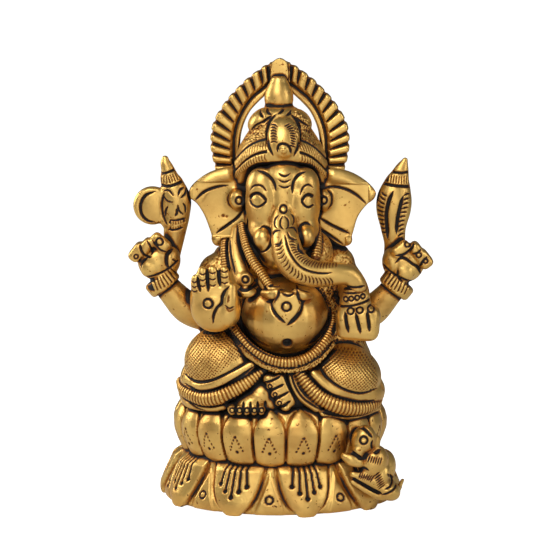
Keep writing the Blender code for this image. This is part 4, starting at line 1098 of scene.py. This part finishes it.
rightLeg = {
    "balls": [((-13.0, -7.8, 33.2), (8.6, 10.2, 7.6), (0, -8, 0)), ((-8.4, -8.8, 31.0), (8.2, 8.0, 5.4),
                                                                    (0, 24, 0)),
              ((-15.0, -7.0, 28.6), (7.6, 8.6, 6.2))],
    "ropes": [([(-21.2, -5.6, 29.6, 1.3), (-18.6, -12.6, 28.4, 1.5), (-14.8, -15.8, 29.2, 1.5),
                (-10.4, -16.2, 31.4, 1.3), (-6.2, -15.8, 33.6, 1.0)],)],
    "skin": {"grain": 0.22, "rough": 0.36, "roughSoften": 6},
    "marks": [
        ("matting", (0.8, 0.18, 0.75, 8), [(-9.8, 34.8), (-6.6, 35.6), (-9, 39.2), (-14, 40.6), (-18.6, 39.6),
          (-20.6, 35.4), (-21.2, 30.6), (-18.6, 30.2), (-14.8, 31)]),
        ("groove", (0.6, 0.5, 1, 0.3), [(-21.4, 30.6), (-18.8, 29.6), (-15.5, 30.2), (-11.5, 32), (-6.8, 34.6)],
         [(-21.4, 28.6), (-17.3, 27.3), (-13.3, 28.5), (-9, 31), (-5.6, 33.4)]),
        ("face", (), "right"),
        ("groove", (0.5, 0.3, 0.5), [(7.8, 38.4), (9.6, 33.6), (10, 29)], [(-4, 37), (-3, 31), (-4.4, 26)],
         [(1, 38.6), (2.4, 32), (1.4, 25.4)]),
    ],
}


leftLeg = {
    "balls": [((14.2, -7.8, 29.8), (8.7, 10.2, 6.9), (0, 8, 0)), ((8.4, -8.8, 29.0), (8.2, 8.0, 5.2), (0, -24, 0)),
              ((15.8, -7.0, 26.0), (8.0, 8.6, 5.6))],
    "ropes": [([(21.4, -5.6, 26.4, 1.2), (18.4, -13.4, 25.8, 1.4), (14.0, -15.9, 27.0, 1.5),
                (10.4, -16.3, 28.9, 1.4), (7.4, -15.9, 31.6, 1.1)],)],
    "skin": {"grain": 0.22, "rough": 0.36, "roughSoften": 6},
    "marks": [
        ("matting", (0.8, 0.18, 0.75, -8), [(8.9, 33.6), (10.4, 36.6), (15, 37.6), (19.4, 36.2), (21.4, 31.6),
          (21.6, 28.2), (18, 27.8), (14.2, 29.2), (11, 31.2)]),
        ("groove", (0.6, 0.5, 1, 0.3), [(8.2, 33.6), (10.4, 30.9), (13.7, 28.6), (17.7, 27.2), (21.6, 27.6)],
         [(5.9, 32.3), (7.9, 29.2), (11.2, 26.6), (15.5, 24.9), (21, 25)]),
        ("face", (), "left"),
        ("groove", (0.5, 0.3, 0.5), [(-7.8, 36), (-9.6, 31), (-10, 27)], [(4, 35), (3, 29), (4.4, 24)], [(-1, 36),
          (-2.4, 30), (-1.4, 24.4)]),
    ],
}


rightHem = {
    "cord": [(-22.4, -4.0, 27.4, 1.3), (-21.0, -10.4, 26.6, 1.6), (-17.2, -14.6, 25.9, 1.8),
             (-12.8, -16.8, 26.8, 1.85),
             (-8.2, -16.6, 29.2, 1.6), (-5.2, -15.9, 31.2, 1.2), (-3.0, -15.4, 32.6, 0.9)],
    "pitch": 0.78,
    "ropes": [([(-22.0, -3.0, 24.4, 1.2), (-20.2, -9.8, 23.8, 1.3), (-15.0, -14.0, 23.8, 1.2),
                (-11.6, -14.8, 24.4, 1.0)],)],
    "balls": [],
    "marks": [
        ("groove", (0.6, 0.5, 1, 0.4), [(-21.6, 25.2), (-17.4, 23.9), (-13.2, 24.7), (-9.4, 27)]),
        ("groove", (0.45, 0.4, 0.9, 0.5), [(-20.4, 24.4), (-18.6, 23.2), (-16.6, 22.8)]),
    ],
}
leftHem = {
    "cord": [(22.4, -3.4, 24.8, 1.2), (21.2, -10.4, 23.9, 1.5), (17.6, -14.8, 23.6, 1.75),
             (13.4, -16.9, 24.5, 1.85),
             (9.2, -17.0, 26.4, 1.75), (6.0, -16.5, 29.4, 1.5), (4.0, -15.7, 32.2, 1.2)],
    "pitch": 0.78,
    "ropes": [([(2.0, -14.8, 32.2, 0.9), (3.0, -15.6, 29.4, 1.1), (4.8, -15.8, 26.6, 1.2),
                (8.0, -15.6, 24.0, 1.3)],),
              ([(21.8, -6.8, 22.0, 1.1), (16.0, -13.6, 21.8, 1.1), (9.6, -16.0, 22.8, 1.0)],)],
    "balls": [],
    "marks": [
        ("groove", (0.5, 0.5, 1, 0.3), [(2.4, 31.9), (3.4, 28.8), (5.3, 26.1), (8.6, 23.9)]),
        ("groove", (0.7, 0.5, 1, 0.3), [(9, 23.2), (14.6, 21.9), (20.6, 22)]),
    ],
}


rightFoot = {
    "balls": [((-7.0, -14.2, 25.0), (5.0, 4.6, 2.6), (0, -26, 0)), ((-4.2, -14.0, 26.6), (3.6, 3.8, 3.2),
                                                                    (0, -40, 0)),
              ((-2.4, -13.8, 25.0), (3.0, 3.4, 3.0)),
              *[((-10.6 + 1.62 * toe, -17.4, 24.0), (1.0, 2.2, 1.35)) for toe in range(5)]],
    "skin": {"grain": 0.17, "rough": 0.24, "roughSoften": 2, "soften": 2},
    "marks": [
        ("ringPunch", (0.55, 0.36, 0.3), *[(-10.5 + 1.62 * toe, 24.1) for toe in range(5)]),
        ("groove", (0.42, 0.45, 1, 0.3), *[[(-9.75 + 1.62 * toe, 25.9),
                                            (-9.7 + 1.62 * toe, 22.6)] for toe in range(5)]),
        ("groove", (0.4, 0.4, 1, 0.3), [(-11.9, 24.6), (-11.6, 23.4), (-10.8, 22.6)]),
    ],
}


leftFoot = {
    "slabs": [((0.3, -15.0, 27.6), (4.2, 4.6, 8.2), (0, -24, 0), 1.2)],
    "balls": [((-2.5, -16.4, 30.6), (1.4, 1.3, 1.1)), ((-1.9, -16.6, 29.0), (1.3, 1.3, 0.95)), ((-1.0, -16.7, 27.2),
                                                                                                (1.3, 1.3, 0.95)),
              ((0.0, -16.8, 25.4), (1.3, 1.3, 0.95)), ((1.2, -16.6, 24.2), (1.2, 1.3, 0.9))],
    "skin": {"grain": 0.17, "rough": 0.24, "roughSoften": 2, "soften": 2},
    "marks": [
        ("groove", (0.55, 0.5, 1, 0.3), [(-3.4, 29.9), (-1.8, 30.3), (0.2, 31.4)], [(-2.9, 28.1), (-1.2, 28.5),
          (0.9, 29.5)], [(-1.9, 26.2), (0.1, 26.8), (2, 27.8)], [(-0.8, 24.2), (0.9, 24.8), (2.4, 25.8)]),
        ("groove", (0.5, 0.4, 1, 0.3), [(0.9, 31.6), (2, 28.8), (3.4, 26.2)]),
        ("ringPunch", (0.45, 0.3, 0.25), (-2.2, 29.1), (-1.1, 27.3), (-0.1, 25.4)),
    ],
}


mouse = {
    "balls": [
        ((18.5, -17.0, 17.0), (2.7, 2.7, 3.3), (0, 18, 0)), ((17.2, -18.0, 14.6), (1.5, 1.8, 2.0),
                                                             (0, 12, 0)),   # head and snout
        ((21.0, -16.4, 16.2), (1.3, 1.1, 1.9), (0, 10, 0)),   # ear
        ((20.6, -15.6, 11.6), (3.4, 3.6, 4.0), (0, 30, 0)), ((22.0, -12.6, 9.0), (3.8, 4.3, 5.0),
                                                             (0, 24, 0)),   # breast and rump
        ((22.2, -16.4, 8.0), (1.9, 2.0, 3.4), (0, 26, 0)), ((23.8, -14.8, 5.2), (3.4, 3.2, 2.4),
                                                            (0, 34, 0)),   # thigh and haunch
    ],
    "ropes": [([(14.2, -18.6, 13.6, 0.9), (15.6, -18.6, 12.9, 1.5), (17.2, -18.4, 12.2, 1.3),
                (18.0, -17.8, 11.4, 0.9)], (1, 1, 1)),
              ([(16.2, -18.4, 9.4, 0.9), (18.4, -17.9, 8.6, 1.3), (21.0, -17.0, 7.0, 1.4),
                (22.6, -16.4, 5.4, 1.1)],),
              ([(20.0, -17.2, 13.4, 1.2), (21.8, -16.6, 11.6, 1.4), (22.6, -16.0, 10.4, 1.2)],),
              ([(16.0, -17.9, 7.6, 0.6), (19.4, -17.6, 5.4, 0.7), (22.6, -16.4, 3.6, 0.7), (26.0, -13.6, 4.2, 0.7),
                (27.6, -11.4, 6.2, 0.5)],)],
    "skin": {"grain": 0.17, "rough": 0.26, "roughSoften": 3, "soften": 2},
    "marks": [
        ("ringPunch", (0.85, 0.5, 0.4), (18.4, 17.4)),
        ("groove", (0.6, 0.5, 1, 0.3), [(15.9, 19.4), (17.2, 20.1), (18.8, 19.6), (20.4, 17.9)]),
        ("groove", (0.5, 0.4, 1, 0.4), [(20.4, 17.3), (20.2, 16.2), (20.4, 15)], [(17.3, 10.4), (18.4, 10.9),
          (19.6, 10.4)]),
        ("groove", (0.7, 0.5, 1, 0.5), [(20.7, 14.3), (21.4, 14.4), (22.2, 14.8)]),
        ("groove", (0.8, 0.6, 1, 0.3), [(14.6, 14.6), (15.8, 14.6), (17, 13.9), (18.2, 12.9)]),
        ("groove", (0.7, 0.5, 1, 0.3), [(13.2, 12.8), (14.4, 11.6), (16, 10.8)]),
        ("hatch", (0.6, -1.7, 6, 0.2, 0, 0.34, 0.26, 0.8), [(19.2, 12.9), (20.4, 12.6), (22.4, 12.2)]),
        ("hatch", (0.6, -1.5, 7, 0.3, 0, 0.34, 0.26, 0.8), [(17.2, 9.2), (18.6, 8.9), (20.4, 8.2)]),
        ("hatch", (-0.9, 1.8, 7, 0.5, 0, 0.34, 0.26, 0.8), [(21.2, 9.8), (21.9, 8.2), (22.6, 6.4)]),
        ("groove", (0.7, 0.6, 1, 0.2), [(15.6, 8.9), (18, 7.4), (20.4, 5.8), (22.6, 4.6)]),
        ("groove", (0.45, 0.4, 1, 0.3), [(23.8, 9.4), (25, 7.6), (24.4, 6.4), (23.2, 5.8)]),
        ("groove", (0.5, 0.4, 1, 0.3), [(22.6, 4.5), (24, 5), (25.6, 6), (26.4, 7.6)]),
        ("face", (), "left"),
        ("groove", (0.5, 0.35, 0.9), [(-14.6, 15.4), (-12.8, 12.6), (-11.8, 9)], [(-12.4, 5), (-10.4, 7),
          (-9.8, 9.6)]),
    ],
}


makePlinth()
makeSeat()
makeBody()
castPiece("rightLeg", rightLeg, "right_leg")
castPiece("leftLeg", leftLeg, "left_leg")
makeCord("rightHem", rightHem, "right_hem")
makeCord("leftHem", leftHem, "left_hem")
castPiece("rightFoot", rightFoot, "right_foot")
castPiece("leftFoot", leftFoot, "left_foot")
castPiece("roundBelly", belly, "belly", "pendant")
makeCord("waistBelt", waistBelt, "waist_belt")
castPiece("elephantHead", headForm, "head", "trunk", "right_tusk", "left_tusk")
makeCrown()
makeHalo()
castPiece("rightEar", rightEar, "right_ear", "right_ear_stud")
castPiece("leftEar", leftEar, "left_ear", "left_ear_stud")
makeCord("rightGarland", rightGarland, "right_garland")
makeCord("leftGarland", leftGarland, "left_garland")
makeCord("shoulderSash", shoulderSash, "shoulder_sash")
castPiece("axe", axe, "axe_shaft", "axe_blade")
castPiece("nooseLoop", noose, "noose")
castPiece("rearRightHand", rearRightHand, "rear_right_hand", "rear_right_bangle")
castPiece("rearLeftHand", rearLeftHand, "rear_left_hand", "rear_left_bangle")
castPiece("blessingHand", blessingHand, "blessing_hand")
castPiece("givingHand", givingHand, "giving_hand", "front_left_bangle")
castPiece("mouse", mouse, "mouse_body", "mouse_head", "mouse_sweet")
print("all pieces tooled")


crevice = {
    "cell": 0.35, "blur": 0.62, "lift": 0.85, "margin": 4,   # how finely, and how far off the skin, it looks
    "low": 1.2, "high": 2.8, "most": 0.86,   # 1 is the crowding over a flat face
    "extraCrowd": {"body": 0.3, "crown": 0.12, "waistBelt": 0.1, "mouse": 0.15, "rightFoot": 0.15,
             "leftFoot": 0.15},   # added to the crowding on these pieces, so they take more of the painted shade and the patina
}


def blurred(grid, sigma):
    reach = int(sigma * 3) + 1
    weights = np.exp(-0.5 * (np.arange(-reach, reach + 1) / sigma) ** 2)
    weights /= weights.sum()
    for axis in range(3):
        total = np.zeros_like(grid)
        for step, weight in zip(range(-reach, reach + 1), weights):
            total += np.roll(grid, step, axis) * weight
        grid = total
    return grid


def sampled(grid, place):
    # reads a grid between its cells
    floor = np.floor(place).astype(int)
    share = place - floor
    total = np.zeros(len(place))
    for corner in range(8):
        step = np.array([(corner >> axis) & 1 for axis in range(3)])
        weight = np.prod(np.where(step, share, 1 - share), axis=1)
        spot = np.clip(floor + step, 0, np.array(grid.shape) - 1)
        total += weight * grid[spot[:, 0], spot[:, 1], spot[:, 2]]
    return total


def crowdPatinaAndShade():
    # painted shade and soot patina together: darker where much metal is crowded round a point of the skin, as in
    # crevices and where parts meet
    low = np.min([casting.points.min(0) for casting in castings], axis=0) - crevice["margin"]
    high = np.max([casting.points.max(0) for casting in castings], axis=0) + crevice["margin"]
    cell, blur, lift = crevice["cell"], crevice["blur"], crevice["lift"]
    shape = np.ceil((high - low) / cell).astype(int)
    grid = np.zeros(shape, np.float32)
    for casting in castings:
        spot = np.round((casting.points - low) / cell).astype(int)
        flat = np.ravel_multi_index(spot.T, shape)
        skin = casting.grain ** 2 / np.maximum(np.abs(casting.normals).sum(1),
                                               0.8)   # the area each point stands for
        grid += np.bincount(flat, skin, minlength=grid.size).reshape(shape).astype(np.float32)
    grid = blurred(grid, blur / cell)
    flatFace = cell / math.sqrt(2 * math.pi) / blur * math.exp(-0.5 * (lift / blur) ** 2) * cell * cell
    for casting in castings:
        above = (casting.points + casting.normals * lift - low) / cell
        # painted shade with the soot patina: the more metal crowds just outside a point, the darker it is made
        crowd = sampled(grid, above) / flatFace + crevice["extraCrowd"].get(casting.name, 0)
        shade = smoothstep(crevice["low"], crevice["high"], crowd) * crevice["most"]
        casting.dark = np.maximum(casting.dark, shade)
    print("crevices darkened")


crowdPatinaAndShade()


def newGroup(name, inputs, outputs):
    tree = bpy.data.node_groups.new(name, "ShaderNodeTree")
    for label, kind, value in inputs:
        tree.interface.new_socket(name=label, in_out="INPUT", socket_type=kind).default_value = value
    for label, kind in outputs:
        tree.interface.new_socket(name=label, in_out="OUTPUT", socket_type=kind)
    return tree, tree.nodes.new("NodeGroupInput"), tree.nodes.new("NodeGroupOutput")


def rampOf(tree, source, span, levels=(0, 1), smooth="LINEAR"):
    # from one grey level to another over a span of the source
    ramp = tree.nodes.new("ShaderNodeValToRGB")
    ramp.color_ramp.interpolation = smooth
    for element, place, level in zip(ramp.color_ramp.elements, span, levels):
        element.position = place
        element.color = (level, level, level, 1)
    tree.links.new(source, ramp.inputs["Fac"])
    return ramp.outputs["Color"]


def noiseOf(tree, scale, detail, roughness=0.5):
    # cloud noise in Object coordinates; scale is cycles per unit
    coords = tree.nodes.new("ShaderNodeTexCoord")
    noise = tree.nodes.new("ShaderNodeTexNoise")
    noise.inputs["Scale"].default_value = scale / unit
    noise.inputs["Detail"].default_value = detail
    noise.inputs["Roughness"].default_value = roughness
    tree.links.new(coords.outputs["Object"], noise.inputs["Vector"])
    return noise.outputs["Fac"]


def mathOf(tree, operation, first, second, clamp=False):
    node = tree.nodes.new("ShaderNodeMath")
    node.operation, node.use_clamp = operation, clamp
    for socket, value in zip(node.inputs, (first, second)):
        if isinstance(value, (int, float)):
            socket.default_value = value
        else:
            tree.links.new(value, socket)
    return node.outputs[0]


def mixOf(tree, share, first, second):
    # inputs 6 and 7, and output 2, are a Mix node's colours
    node = tree.nodes.new("ShaderNodeMix")
    node.data_type = "RGBA"
    for socket, value in ((node.inputs[0], share), (node.inputs[6], first), (node.inputs[7], second)):
        if isinstance(value, tuple):
            socket.default_value = (*value, 1)
        else:
            tree.links.new(value, socket)
    return node.outputs[2]


patinaLook = {
    "gold": (0.82, 0.525, 0.152), "tan": (0.62, 0.35, 0.095), "rustAndShade": (0.37, 0.125, 0.018),
    "sootAndShade": (0.008, 0.005, 0.003),
    "goldRough": 0.345, "sootRough": 0.65, "roughSpan": (0.15, 0.7), "cloudRough": 0.12,
    "metalSpan": (0.4, 0.75), "sootMetal": 0.15,
    "stainAndShadeSpan": (0.05, 0.44), "sootAndShadeSpan": (0.44, 0.76),   # where gold turns to the rust brown, and that to the soot black, in the patina and the painted shade alike
    "speckle": 2.4, "ragged": 0.5, "cloud": 0.16, "cloudSpan": (0.38, 0.66),
    "pits": 1.15, "pitSpan": (0.645, 0.695), "pitSoot": 0.75, "ripple": 0.9, "rippleHeight": 1.5, "relief": 0.12,
    "finishes": {"polished_brass": ("polishedBrass", 0.65, 0.24),
                 "antique_brass": ("antiqueBrass", 0.9, 0.32)},   # slot: name, wear, strength of the relief
}


def makePatinaGroup():
    # brass with soot left in the cuts and painted shade in the crevices: colour, roughness, metal and a fine skin
    # height
    look = patinaLook
    tree, entry, out = newGroup(
        "agedAndShadedBrass",
        [("Wear", "NodeSocketFloat", 0.5), ("Gold", "NodeSocketColor", (*look["gold"], 1)),
         ("Tan", "NodeSocketColor", (*look["tan"], 1))],
        [("Color", "NodeSocketColor"), ("Roughness", "NodeSocketFloat"), ("Metallic", "NodeSocketFloat"),
         ("Height", "NodeSocketFloat")])

    def times(first, second):
        return mathOf(tree, "MULTIPLY", first, second)

    attribute = tree.nodes.new("ShaderNodeAttribute")
    attribute.attribute_name = "patinaAndShade"
    speckle = noiseOf(tree, look["speckle"], 4, 0.6)
    cloud = noiseOf(tree, look["cloud"], 3, 0.55)
    pits = rampOf(tree, noiseOf(tree, look["pits"], 3, 0.6), look["pitSpan"])
    sootAndShade = mathOf(tree, "MAXIMUM", attribute.outputs["Fac"], times(pits, times(entry.outputs["Wear"],
                                                                               look["pitSoot"])))
    ragged = times(mathOf(tree, "SUBTRACT", speckle, 0.5),
                   look["ragged"])   # a speckled edge, only where the patina and the painted shade lie
    sootAndShade = mathOf(tree, "ADD", sootAndShade, times(ragged, mathOf(tree, "GREATER_THAN", sootAndShade, 0.02)), clamp=True)
    cloudShare = times(rampOf(tree, cloud, look["cloudSpan"]), entry.outputs["Wear"])
    metal = mixOf(tree, cloudShare, entry.outputs["Gold"], entry.outputs["Tan"])
    stainedAndShaded = mixOf(tree, rampOf(tree, sootAndShade, look["stainAndShadeSpan"], smooth="EASE"), metal, look["rustAndShade"])
    rough = rampOf(tree, sootAndShade, look["roughSpan"], (look["goldRough"], look["sootRough"]))
    results = {
        "Color": mixOf(tree, rampOf(tree, sootAndShade, look["sootAndShadeSpan"], smooth="EASE"), stainedAndShaded, look["sootAndShade"]),
        "Roughness": mathOf(tree, "ADD", rough, times(cloud, look["cloudRough"])),
        "Metallic": rampOf(tree, sootAndShade, look["metalSpan"], (1, look["sootMetal"])),
        "Height": mathOf(tree, "ADD", speckle, times(noiseOf(tree, look["ripple"], 2), look["rippleHeight"])),
    }
    for label, result in results.items():
        tree.links.new(result, out.inputs[label])
    return tree


def makeBrass(group, name, wear, strength):
    material = bpy.data.materials.new(name)
    material.use_nodes = True
    tree = material.node_tree
    shader = tree.nodes["Principled BSDF"]
    brass = tree.nodes.new("ShaderNodeGroup")
    brass.node_tree = group
    brass.inputs["Wear"].default_value = wear
    brass.inputs["Gold"].default_value = (*patinaLook["gold"], 1)
    brass.inputs["Tan"].default_value = (*patinaLook["tan"], 1)
    relief = tree.nodes.new("ShaderNodeBump")
    relief.inputs["Strength"].default_value = strength
    relief.inputs["Distance"].default_value = patinaLook["relief"] * unit
    tree.links.new(brass.outputs["Height"], relief.inputs["Height"])
    tree.links.new(brass.outputs["Color"], shader.inputs["Base Color"])
    tree.links.new(brass.outputs["Roughness"], shader.inputs["Roughness"])
    tree.links.new(brass.outputs["Metallic"], shader.inputs["Metallic"])
    tree.links.new(relief.outputs["Normal"], shader.inputs["Normal"])
    return material


def finishPieces():
    group = makePatinaGroup()
    finishes = {name: makeBrass(group, *how) for name, how in patinaLook["finishes"].items()}
    slots = {entry["node"]: entry["material_slot"] for entry in frame["record"]["subparts"]}
    for casting in castings:
        mesh = casting.piece.data
        # the patina layer holds the soot in the cuts and the painted shade of the crevices
        layer = mesh.attributes.new("patinaAndShade", "FLOAT", "POINT")
        layer.data.foreach_set("value", casting.dark.astype(np.float32))
        name = slots[casting.nodes[0]]
        mesh.materials.clear()
        mesh.materials.append(finishes[name])
        mesh.shade_smooth()
        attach(casting.piece, "root")
        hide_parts(*casting.nodes)


finishPieces()
print("finished in brass", len(castings), "pieces")


studio = {
    "target": (0, 0, 50), "distance": 430, "height": 9, "lens": 121.6, "sensor": 36,   # height is in degrees
    "paper": (0.85, 0.85, 0.85), "paperGlow": 0.95, "paperSize": 4000, "backdrop": 1.15, "room": 0.14,
    "lights": {   # place, aim, width and height, watts
        "key": ((-110, -320, 360), (0, 0, 45), (235, 235), 1.05),
        "fill": ((340, -200, 180), (0, 0, 50), (140, 260), 0.36),
        "front": ((30, -420, 90), (0, 0, 40), (260, 160), 0.22),
        "rim": ((-350, 60, 200), (0, 0, 50), (120, 240), 0.66),
    },
}


def makeLight(name, place, aim, size, power):
    light = bpy.data.lights.new(name, "AREA")
    light.shape, light.size, light.size_y = "RECTANGLE", size[0] * unit, size[1] * unit
    light.energy = power
    lamp = bpy.data.objects.new(name, light)
    bpy.context.scene.collection.objects.link(lamp)
    lamp.location = Vector(place) * unit
    lamp.rotation_euler = (Vector(aim) * unit - lamp.location).to_track_quat("-Z", "Y").to_euler()


def makeFloor():
    # pale paper that glows for the camera only, so that it throws no light on the brass
    ground = bmesh.new()
    bmesh.ops.create_grid(ground, x_segments=1, y_segments=1, size=studio["paperSize"] * unit)
    mesh = bpy.data.meshes.new("floor")
    ground.to_mesh(mesh)
    ground.free()
    floor = bpy.data.objects.new("floor", mesh)
    bpy.context.scene.collection.objects.link(floor)
    paper = bpy.data.materials.new("paper")
    paper.use_nodes = True
    tree = paper.node_tree
    sheet = tree.nodes["Principled BSDF"]
    sheet.inputs["Base Color"].default_value = (*studio["paper"], 1)
    sheet.inputs["Roughness"].default_value = 0.9
    sheet.inputs["Emission Color"].default_value = (1, 1, 1, 1)
    seen = tree.nodes.new("ShaderNodeLightPath")
    glow = mathOf(tree, "MULTIPLY", seen.outputs["Is Camera Ray"], studio["paperGlow"])
    tree.links.new(glow, sheet.inputs["Emission Strength"])
    mesh.materials.append(paper)


def makeWorld():
    # a bright backdrop for the camera, and a dim room for the brass to reflect
    world = bpy.data.worlds.new("studio")
    bpy.context.scene.world = world
    world.use_nodes = True
    tree = world.node_tree
    seen = tree.nodes.new("ShaderNodeLightPath")
    strength = mixOf(tree, seen.outputs["Is Camera Ray"], (studio["room"],) * 3, (studio["backdrop"],) * 3)
    tree.links.new(strength, tree.nodes["Background"].inputs["Color"])


def makeCamera():
    camera = bpy.data.cameras.new("camera")
    camera.lens, camera.sensor_width = studio["lens"], studio["sensor"]
    camera.clip_start, camera.clip_end = unit, 20000 * unit
    view = bpy.data.objects.new("camera", camera)
    bpy.context.scene.collection.objects.link(view)
    lift = math.radians(studio["height"])
    target = Vector(studio["target"])
    place = target + studio["distance"] * Vector((0, -math.cos(lift), math.sin(lift)))
    view.location = place * unit
    view.rotation_euler = (target - place).to_track_quat("-Z", "Y").to_euler()
    bpy.context.scene.camera = view


makeFloor()
makeWorld()
for name, how in studio["lights"].items():
    makeLight(name, *how)
makeCamera()
bpy.context.scene.view_settings.view_transform = "Standard"
print("studio set")
